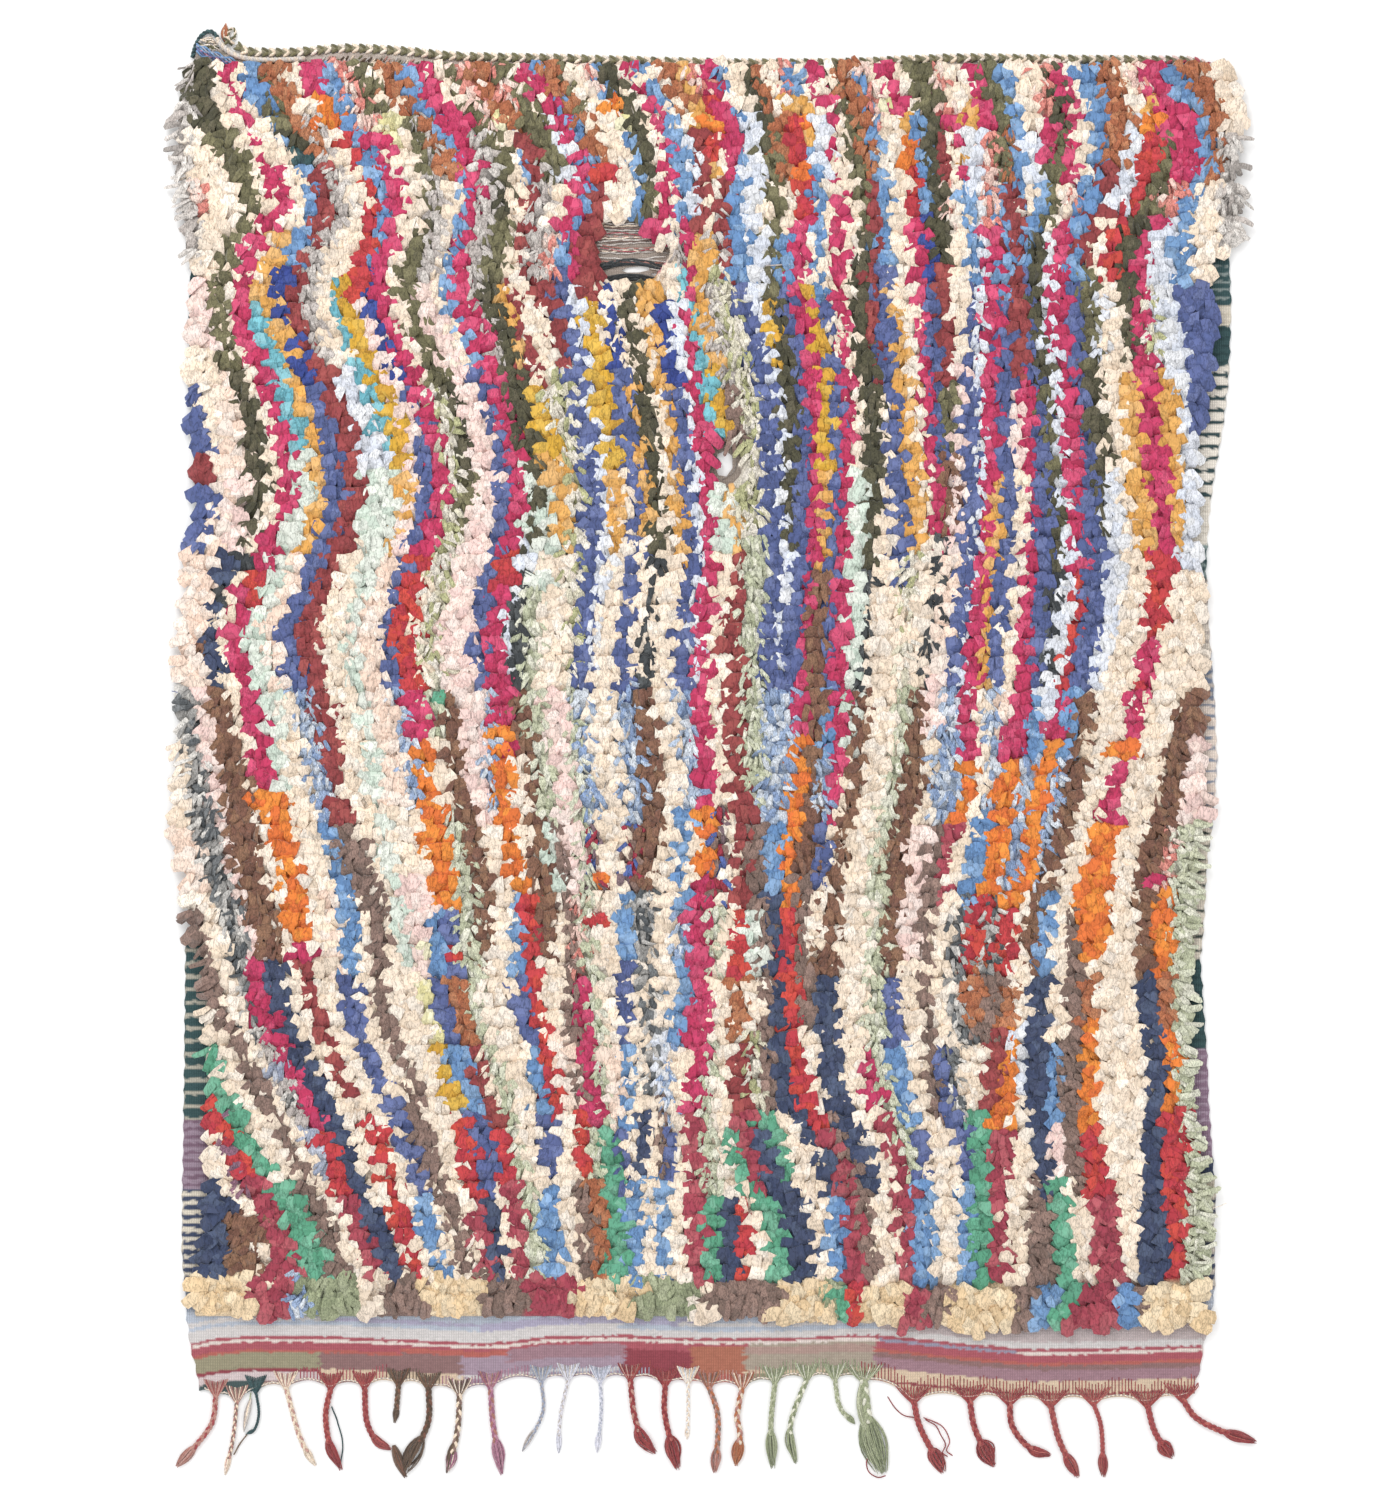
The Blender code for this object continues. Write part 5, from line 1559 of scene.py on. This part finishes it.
# Single yarns: half width in mm, colour and route
Yarn = namedtuple("Yarn", "radius colour route")
FRINGE_YARNS = (
    Yarn(1.0, "rose", ((924, 1419), (934, 1423), (944, 1429), (950, 1442), (947, 1452), (953, 1457))),
    Yarn(1.0, "garnet", ((926, 1421), (936, 1427), (941, 1436), (946, 1446), (943, 1454), (948, 1458))),
    Yarn(1.0, "garnet", ((872, 1452), (867, 1463), (869, 1473), (878, 1479), (886, 1477))),
    Yarn(1.0, "garnet", ((888, 1398), (896, 1410), (905, 1417), (915, 1419))),
    Yarn(1.2, "teal", ((331, 1408), (337, 1424), (342, 1445), (340, 1464))),
    Yarn(1.3, "cocoa", ((246, 1436), (239, 1445), (233, 1456))),
    Yarn(1.2, "fern", ((250, 1394), (248, 1408), (245, 1424))),
)


# Brushed ends beside the tassels': half width in mm, colours and route
SPARE_TUFTS = (
    (7.0, "cocoa cocoa brown", ((393, 1447), (397, 1460), (405, 1478))),
    (4.0, "cocoa", ((455, 1442), (449, 1456), (446, 1474))),
    (4.0, "cream grey", ((250, 1400), (246, 1415), (243, 1432))),
    (6.0, "fern sage", ((862, 1384), (861, 1410), (868, 1440))),
)


class RUG_OT_braid(bpy.types.Operator):
    """Plaits the cream and olive edge braid: two rows of slanting lobes that meet in arrowheads"""

    bl_idname = "rug.braid"
    bl_label = "Edge braid"

    def execute(self, context):
        settings = context.scene.rug
        rng = np.random.default_rng(31)
        line = metres(smooth_route(BRAID_LINE, 2.0))
        steps = np.linalg.norm(np.diff(line, axis=0), axis=1)
        s = np.concatenate([[0.0], np.cumsum(steps)])
        pitch = 0.0108
        places = np.arange(pitch * 0.4, s[-1] - pitch * 0.3, pitch)
        middle = np.column_stack([np.interp(places, s, line[:, i]) for i in range(2)])
        across = level_across(middle)
        along = np.column_stack([across[:, 1], -across[:, 0]])
        heap = YarnHeap()
        half = settings.braid_width / 2
        slant = math.radians(34)
        cartoon_x = middle[:, 0] / CARTOON_UNIT + CARTOON_MIDDLE[0]
        t = np.linspace(-1, 1, 5)
        for side in (-1, 1):
            centre = middle + across * side * half * 0.42
            direction = along * math.cos(slant) - across * side * math.sin(slant)
            length = half * 1.22 * rng.uniform(0.94, 1.06, len(places))
            plan = centre[:, None] + direction[:, None] * (length[:, None] * t[None])[..., None]
            height = 0.0050 + 0.0004 * (1 - t**2)[None] * np.ones((len(places), 1))
            paths = np.concatenate([plan, height[..., None]], axis=2)
            swell = np.sqrt(1 - (0.93 * t) ** 2)[None] * half * rng.uniform(0.49, 0.54, len(places))[:, None]
            dyes = []
            for number, x in enumerate(cartoon_x):
                light = "cream" if x < 1160 else "blush"
                dark = "olive" if x < 1160 or rng.random() < 0.5 else "maroon"
                dyes.append(shade_of(light if number % 2 else dark, rng))
            heap.add(paths, swell, np.stack(dyes), sides=6, flat=1.15)
        core = np.column_stack([line[::4], np.full(len(line[::4]), 0.0042)])
        heap.add(core[None], half * 0.82, linear("#8C8670")[None], sides=6, flat=0.8)
        wool = rag_material("plied edge wool", 0.95, 0.25, 2.5, 1.2, 0.18)
        piece = heap.put("edge_braid", wool)
        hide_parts("top_braid")
        return {"FINISHED"}


class RUG_OT_tie(bpy.types.Operator):
    """Ties the corner: a twisted loop of dark cord, a knot and a short cut tuft"""

    bl_idname = "rug.tie"
    bl_label = "Corner tie"

    def execute(self, context):
        rng = np.random.default_rng(33)
        heap = YarnHeap()
        loop = metres(smooth_route(TIE_LOOP, 1.0))
        heap.add(twist(loop, 0.0046, 0.0018, 0.012, 2), 0.0020,
            [shade_of("teal", rng), shade_of("teal", rng) * 0.85])
        # Threads inside the loop and along the cloth's corner
        for name, count, box in (("cream", 16, (198, 214, 36, 46)), ("grey", 8, (196, 212, 38, 50)),
                                 ("olive", 12, (198, 214, 42, 52))):
            left, right, top, bottom = box
            start = np.column_stack([rng.uniform(left, right, count), rng.uniform(top, bottom, count)])
            reach = np.column_stack([rng.uniform(3, 9, count), rng.uniform(-4, 4, count)])
            t = np.linspace(0, 1, 5)[None, :, None]
            plan = start[:, None] + reach[:, None] * t
            paths = np.concatenate([
                metres(plan.reshape(-1, 2)).reshape(count, 5, 2),
                (0.003 + 0.004 * np.sin(np.pi * t) * np.ones((count, 1, 1))),
            ], axis=2)
            heap.add(paths, 0.0011, np.stack([shade_of(name, rng) for _ in range(count)]), sides=5)
        # A ribbon of blue threads that runs from the loop on to the cloth, and the rolled start of the
        # heading
        ribbon = smooth_route([(196, 47), (205, 52), (219, 58), (235, 64)], 2.0)
        for number, name in enumerate(("sky", "slate", "sky", "periwinkle", "orchid", "periwinkle", "sky")):
            sway = 1.3 * np.sin(np.arange(len(ribbon)) * 0.9 + number * 1.9)
            plan = metres(ribbon + np.column_stack([0 * sway, (number - 3) * 1.4 + sway]))
            high = 0.0085 + 0.0008 * np.sin(np.arange(len(plan)) * 1.3 + number)
            heap.add(np.column_stack([plan, high])[None], 0.0015, shade_of(name, rng)[None], sides=6)
        roll = metres(smooth_route([(216, 38), (222, 45), (232, 53), (247, 58), (267, 59.5), (288, 59),
            (304, 58)], 1.5))
        heap.add(twist(roll, 0.0080, 0.0012, 0.0120, 2), 0.0036,
            [shade_of("cream", rng) * 0.86, shade_of("grey", rng)])
        # The knot: turns of cord laid over each other
        for turn, name in ((0.0, "olive"), (0.5, "moss"), (1.0, "olive"), (1.5, "cream"), (2.0, "olive")):
            centre = np.array([226.0 + 2.2 * turn, 41.0 - 1.2 * turn])
            t = np.linspace(-1, 1, 9)
            plan = centre + np.column_stack([t * 4.2, 3.2 * np.sin(t * 1.5) * (1 if turn % 1 else -1)])
            path = np.column_stack([metres(plan), 0.0040 + 0.0042 * np.cos(t * 1.4)])
            heap.add(path[None], 0.0019, shade_of(name, rng)[None], sides=7)
        tuft = metres(smooth_route([(224.5, 40), (223.5, 31), (225, 22)], 1.0))
        brush_strands(heap, tuft, 0.0055, 0.006, 26, ("rust", "rust", "cream"), rng)
        curl = metres(smooth_route([(227, 38), (228, 30), (232, 27), (234.5, 31), (233, 38)], 0.8))
        heap.add(twist(curl, 0.0045, 0.0013, 0.009, 2), 0.0013,
            [shade_of("cream", rng), shade_of("olive", rng)])
        wool = rag_material("plied tie wool", 0.95, 0.25, 2.5, 1.2, 0.18)
        piece = heap.put("corner_tie", wool)
        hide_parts("corner_knot")
        return {"FINISHED"}


class RUG_OT_fringe(bpy.types.Operator):
    """Plaits the warps of the lower end into tassels with brushed-out tips, with their roots in the hem"""

    bl_idname = "rug.fringe"
    bl_label = "Tassel fringe"

    def execute(self, context):
        rng = np.random.default_rng(35)
        heap = YarnHeap()
        for tassel in TASSELS:
            route = smooth_route([(tassel.root_x, tassel.root_y), *tassel.route], 0.8)
            samples = 54
            line, length = resampled(metres(route), samples)
            cut = int(round(samples * (1 - tassel.tuft_share)))
            half = tassel.cord * CARTOON_UNIT
            plies = tassel.plies.split()
            paths = plait(line[:cut + 4], 0.0046, half * 0.52, half * 0.30, half * 5.0, 3)
            heap.add(paths, half * 0.50, np.stack([shade_of(name, rng) for name in plies]), sides=5)
            count = int(10 + tassel.tuft * 3.2)
            height = min(0.0066, tassel.tuft * CARTOON_UNIT * 0.75)
            brush = (tassel.brush, tassel.brush, tassel.brush, plies[0])
            brush_strands(heap, line[cut:], tassel.tuft * CARTOON_UNIT, height, count, brush, rng)
            # Warps that run together from the hem into the root
            starts = np.linspace(-1, 1, 13)
            spread = 9.0 if tassel.root_x < 860 else 15.0
            t = np.linspace(0, 1, 7)
            fan = []
            for share in starts:
                x = tassel.root_x + share * (spread + tassel.cord) * (1 - t**1.2)
                x = np.clip(x, 190, 1199)
                y = tassel.root_y - 13.0 + 17.0 * t - 3.0 * abs(share) * (1 - t)
                z = 0.0040 + 0.0010 * np.sin(np.pi * np.sqrt(t))
                fan.append(np.column_stack([metres(np.column_stack([x, y])), z]))
            dyes = np.stack([shade_of(plies[number % 3], rng) for number in range(len(starts))])
            heap.add(np.stack(fan), 0.0010, dyes, sides=4)
        for half_width, names, route in SPARE_TUFTS:
            line = metres(smooth_route(route, 1.0))
            brush_strands(heap, line, half_width / 1000, 0.0060, int(6 * half_width), names.split(), rng)
        for yarn in FRINGE_YARNS:
            line = metres(smooth_route(yarn.route, 2.0))
            z = 0.0030 + 0.0012 * np.sin(np.arange(len(line)) * 0.7)
            heap.add(np.column_stack([line, z])[None], yarn.radius / 1000, shade_of(yarn.colour, rng)[None],
                sides=5)
        # The twining along the hem: two plies of cream and grey yarn
        hem = metres(smooth_route(hem_line()[1:-1:2] - (0, 1.8), 2.0))
        heap.add(twist(hem, 0.0040, 0.0008, 0.0065, 2), 0.0010,
            [shade_of("cream", rng), shade_of("grey", rng)], sides=5)
        wool = rag_material("plaited warp wool", 0.95, 0.25, 2.5, 1.2, 0.16)
        piece = heap.put("tassel_fringe", wool)
        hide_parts("fringe")
        return {"FINISHED"}


# Single yarns that lie on the cloth and the pile
LOOSE_YARNS = (
    Yarn(1.3, "grey", ((640, 258), (668, 262), (700, 268), (727, 270), (760, 267), (790, 265))),
    Yarn(1.2, "greyfleck", ((655, 250), (690, 257), (715, 262), (738, 259))),
    Yarn(1.2, "grey", ((650, 268), (684, 274), (708, 283), (722, 297))),
    Yarn(1.0, "cream", ((711, 441), (720, 438.5), (735, 442))),
    Yarn(1.0, "teal", ((718, 446), (727, 443.5), (734, 447))),
    Yarn(1.4, "teal", ((714, 456), (718, 459), (721, 464))),
    Yarn(0.8, "greyfleck", ((737, 462), (733, 472), (722, 479))),
    Yarn(0.9, "maroon", ((590, 236), (620, 232), (655, 238))),
    Yarn(0.9, "maroon", ((600, 247), (630, 251), (664, 246))),
    Yarn(0.8, "teal", ((300, 976), (330, 980), (365, 978), (400, 984))),
    Yarn(0.8, "teal", ((690, 1095), (715, 1098), (760, 1095))),
    Yarn(0.8, "teal", ((800, 988), (850, 991), (900, 988))),
    Yarn(0.7, "periwinkle", ((188, 697), (180, 693), (172, 691))),
    Yarn(0.7, "cream", ((1213, 1208), (1219, 1206), (1226, 1203))),
)


# Coloured warps above the hem: where they start and stop, their colour and how far up they show
WARP_BANDS = (
    (300, 386, "maroon", 13),
    (386, 442, "cocoa", 11),
    (442, 530, "orchid", 10),
    (530, 650, "slate", 8),
    (650, 700, "garnet", 14),
    (700, 760, "dustypink", 12),
    (760, 862, "fern", 14),
    (862, 1197, "garnet", 17),
)


class RUG_OT_yarns(bpy.types.Operator):
    """Lays the darning yarns of the worn patch and the loose yarns that lie on the pile"""

    bl_idname = "rug.yarns"
    bl_label = "Loose yarns"

    def execute(self, context):
        settings = context.scene.rug
        rng = np.random.default_rng(37)
        heap = YarnHeap()
        t = np.linspace(0, 1, 22)
        for number in range(26):
            dark = number > 17
            if dark:
                down = (266.0 if number < 22 else 282.0) + (number % 4) * 1.7
            else:
                down = 222.0 + number * 2.1 + rng.uniform(-0.8, 0.8)
            left, right = 593 + rng.uniform(-6, 6), 664 + rng.uniform(-5, 7)
            x = left + (right - left) * t
            sag = (-8.0 if dark else 1.5) * np.sin(np.pi * t)
            y = down + sag * rng.uniform(0.85, 1.1) + np.cumsum(rng.normal(0, 0.12 if dark else 0.45, len(t)))
            z = settings.ground_thickness + 0.0014 + 0.0010 * np.sin(x * 0.6 + number * np.pi)
            name = "charcoal" if dark else ("grey", "cream", "taupe", "grey", "greyfleck",
                "dustypink")[number % 6]
            path = np.column_stack([metres(np.column_stack([x, y])), z])
            shade = shade_of(name, rng)[None] * (0.75 if dark else 1.0)
            heap.add(path[None], 0.0020 if dark else 0.0013, shade, sides=5)
        self.add_heading(heap, settings.ground_thickness, rng)
        self.add_warps(heap, settings.ground_thickness, rng)
        for yarn in LOOSE_YARNS:
            line = metres(smooth_route(yarn.route, 2.0))
            on_cloth = 0.006 if 585 < yarn.route[0][0] < 740 and yarn.route[0][1] < 480 else 0.018
            high = np.full(len(line), on_cloth) + rng.normal(0, 0.0006, len(line))
            if yarn.route[-1][0] > 750 and yarn.route[-1][1] < 480:
                high = np.linspace(0.006, 0.026, len(line))
            heap.add(np.column_stack([line, high])[None], yarn.radius / 1000,
                shade_of(yarn.colour, rng)[None], sides=5)
        wool = rag_material("loose wool yarn", 0.95, 0.25, 2.5, 1.2, 0.18)
        piece = heap.put("loose_yarns", wool)
        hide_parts("rug_body")
        return {"FINISHED"}

    def add_heading(self, heap, thickness, rng):
        """Slanting stitches under the braid: short straight tubes, one every 2.6 cartoon units along the top."""
        x = np.arange(250.0, 1190.0, 2.6)
        y = np.interp(x, *top_edge().T) + rng.uniform(4.5, 9.5, len(x))
        lean = rng.uniform(-2.6, -1.2, len(x))
        plan = np.stack([np.column_stack([x - lean, y - 2.2]), np.column_stack([x, y]),
                         np.column_stack([x + lean, y + 2.2])], axis=1)
        high = np.broadcast_to(thickness + np.array([0.0002, 0.0012, 0.0002]), (len(x), 3))
        paths = np.concatenate([metres(plan.reshape(-1, 2)).reshape(-1, 3, 2), high[..., None]], axis=2)
        dyes = []
        for place in x:
            names = ("cream", "grey", "cocoa", "dustypink", "olive") if place < 450 else ("slate", "cream",
                "grey", "sky")
            dyes.append(shade_of(names[rng.integers(0, len(names))], rng))
        heap.add(paths, 0.0015, np.stack(dyes), sides=5)

    def add_warps(self, heap, thickness, rng):
        """The coloured warps that cross the last band above the hem: straight tubes half sunk in the cloth."""
        hem = hem_line()[1:-1]
        for start, stop, name, reach in WARP_BANDS:
            x = np.arange(start, stop, 3.3)
            x += rng.uniform(-0.4, 0.4, len(x))
            foot = np.interp(x, hem[:, 0], hem[:, 1]) - 1.0
            t = np.linspace(0, 1, 4)[None]
            y = foot[:, None] - reach * rng.uniform(0.8, 1.15, len(x))[:, None] * (1 - t)
            plan = np.stack([np.broadcast_to(x[:, None], y.shape), y], axis=2)
            high = np.full((len(x), 4, 1), thickness + 0.0002)
            paths = np.concatenate([metres(plan.reshape(-1, 2)).reshape(-1, 4, 2), high], axis=2)
            heap.add(paths, 0.0008, np.stack([shade_of(name, rng) for _ in x]), sides=4)


def stripe_dyes(field, x, down):
    """The stripes' colours at cartoon points, each point a slightly different shade."""
    rng = np.random.default_rng(11)
    dyes = np.zeros((len(x), 3))
    level = np.round(down / 3.0) * 3.0
    for place in np.unique(level):
        here = level == place
        if place > BLOCK_TOP:
            names, rights = read_row(BLOCKS)
            edges = np.concatenate([[184.0], rights])
        else:
            names, edges = field.at(place)
        picks = np.clip(np.searchsorted(edges, x[here]) - 1, 0, len(names) - 1)
        colours = np.array([linear(RAGS[name].shades[0]) for name in names])
        dyes[here] = colours[picks]
    return dyes * rng.uniform(0.88, 1.04, len(x))[:, None]


class RUG_OT_bed(bpy.types.Operator):
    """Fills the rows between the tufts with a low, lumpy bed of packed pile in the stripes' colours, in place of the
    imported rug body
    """

    bl_idname = "rug.bed"
    bl_label = "Packed pile"

    def execute(self, context):
        settings = context.scene.rug
        rng = np.random.default_rng(13)
        down = np.arange(PILE_TOP + 4, PILE_END - 2, 6.0)
        left = np.column_stack([
            side_at(LEFT_SIDE, "edge", down) + side_at(LEFT_SIDE, "bare", down) + 3.0 + rng.uniform(-1, 1,
                len(down)),
            down,
        ])
        right = np.column_stack([
            side_at(RIGHT_SIDE, "edge", down) - side_at(RIGHT_SIDE, "bare", down) - 3.0 + rng.uniform(-1, 1,
                len(down)),
            down,
        ])
        across = np.linspace(0, 1, 160)[1:-1, None]
        top = left[0] + (right[0] - left[0]) * across
        bottom = left[-1] + (right[-1] - left[-1]) * across
        outline = np.vstack([top, right, bottom[::-1], left[::-1]])
        holes = [ellipse(Hole(thin.x, thin.y, thin.half_width, thin.half_length, 0)) for thin in THIN_PLACES]
        loops = [outline, *holes]
        rows = np.arange(PILE_TOP + 7, PILE_END - 4, 5.8)
        spots = np.stack(np.meshgrid(np.arange(184, 1236, 4.2), rows), -1).reshape(-1, 2)
        spots[:, 0] += np.where(np.round((spots[:, 1] - PILE_TOP) / 5.8) % 2 == 0, 2.1, 0.0)
        spots += rng.uniform(-0.6, 0.6, spots.shape)
        spots = spots[in_cloth(spots, loops)]
        spots = off_rims(spots, loops, 2.2)
        pitch = settings.row_pitch / CARTOON_UNIT
        height = settings.pile_height

        def height_of(plan):
            y = CARTOON_MIDDLE[1] - plan[:, 1] / CARTOON_UNIT
            ridge = 0.5 + 0.5 * np.cos(2 * np.pi * (y - PILE_TOP - pitch * 0.9) / pitch)
            return height * (0.54 + 0.14 * ridge + rng.normal(0, 0.03, len(plan)))

        vertices, faces = slab(
            [metres(loop) for loop in loops], metres(spots), height_of, height * 0.25, settings.ground_thickness * 0.8
        )
        x = vertices[:, 0] / CARTOON_UNIT + CARTOON_MIDDLE[0]
        y = CARTOON_MIDDLE[1] - vertices[:, 1] / CARTOON_UNIT
        dye = stripe_dyes(StripeField(), x, y - 5.0)
        material = rag_material("packed rag", 0.95, 0.15, 5.0, 1.6, 0.15)
        piece = put_mesh("pile_bed", vertices, faces, dye, material)
        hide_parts("rug_body")
        return {"FINISHED"}


class RUG_OT_stage(bpy.types.Operator):
    """Sets the pale floor, the soft light and the camera straight above the rug"""

    bl_idname = "rug.stage"
    bl_label = "Stage"

    def execute(self, context):
        settings = context.scene.rug
        scene = context.scene
        floor_material = bpy.data.materials.new("pale seamless floor")
        floor_material.use_nodes = True
        shader = floor_material.node_tree.nodes["Principled BSDF"]
        shader.inputs["Base Color"].default_value = (*linear(settings.floor_colour), 1.0)
        shader.inputs["Roughness"].default_value = 0.9
        shader.inputs["Specular IOR Level"].default_value = 0.2
        size, depth = 12.0, -0.0005
        mesh = bpy.data.meshes.new("floor")
        mesh.from_pydata(
            [(-size, -size, depth), (size, -size, depth), (size, size, depth), (-size, size, depth)],
            [], [(0, 1, 2, 3)]
        )
        mesh.materials.append(floor_material)
        floor = bpy.data.objects.new("floor", mesh)
        scene.collection.objects.link(floor)

        world = bpy.data.worlds.new("soft studio")
        scene.world = world
        world.use_nodes = True
        background = world.node_tree.nodes["Background"]
        background.inputs["Color"].default_value = (1.0, 1.0, 1.0, 1.0)
        background.inputs["Strength"].default_value = settings.sky_strength

        lamp = bpy.data.lights.new("key", "AREA")
        lamp.shape = "DISK"
        lamp.size = 2.4
        lamp.energy = settings.key_power
        key = bpy.data.objects.new("key", lamp)
        key.location = (-1.6, 2.9, 3.4)
        key.rotation_euler = Vector(key.location).to_track_quat("Z", "Y").to_euler()
        scene.collection.objects.link(key)

        distance, sensor = 6.0, 36.0
        camera_data = bpy.data.cameras.new("camera")
        camera_data.sensor_fit = "VERTICAL"
        camera_data.sensor_height = sensor
        camera_data.lens = sensor * distance / (PICTURE_HEIGHT * CARTOON_UNIT)
        camera = bpy.data.objects.new("camera", camera_data)
        middle = metres([PICTURE_MIDDLE])[0]
        camera.location = (middle[0], middle[1], distance + 0.015)
        scene.collection.objects.link(camera)
        scene.camera = camera
        scene.view_settings.view_transform = "Standard"
        return {"FINISHED"}


class RUG_PT_panel(bpy.types.Panel):
    """The rug's pieces and sizes"""

    bl_idname = "RUG_PT_panel"
    bl_label = "Boucherouite rug"
    bl_space_type = "VIEW_3D"
    bl_region_type = "UI"
    bl_category = "Rug"

    def draw(self, context):
        layout = self.layout
        for name in RugSettings.__annotations__:
            layout.prop(context.scene.rug, name)
        for operator in OPERATORS:
            layout.operator(operator.bl_idname)


OPERATORS = (
    RUG_OT_stage, RUG_OT_ground, RUG_OT_bed, RUG_OT_pile, RUG_OT_braid, RUG_OT_tie, RUG_OT_fringe, RUG_OT_yarns
)
CLASSES = (RugSettings, *OPERATORS, RUG_PT_panel)


def register():
    """Registers the classes and the scene's settings."""
    for item in CLASSES:
        bpy.utils.register_class(item)
    bpy.types.Scene.rug = bpy.props.PointerProperty(type=RugSettings)


def unregister():
    """Takes the classes and the settings away again."""
    del bpy.types.Scene.rug
    for item in reversed(CLASSES):
        bpy.utils.unregister_class(item)


def main():
    """Makes every piece in order."""
    register()
    bpy.ops.rug.stage()
    bpy.ops.rug.ground()
    bpy.ops.rug.bed()
    bpy.ops.rug.pile()
    bpy.ops.rug.braid()
    bpy.ops.rug.tie()
    bpy.ops.rug.fringe()
    bpy.ops.rug.yarns()


if __name__ == "__main__":
    main()
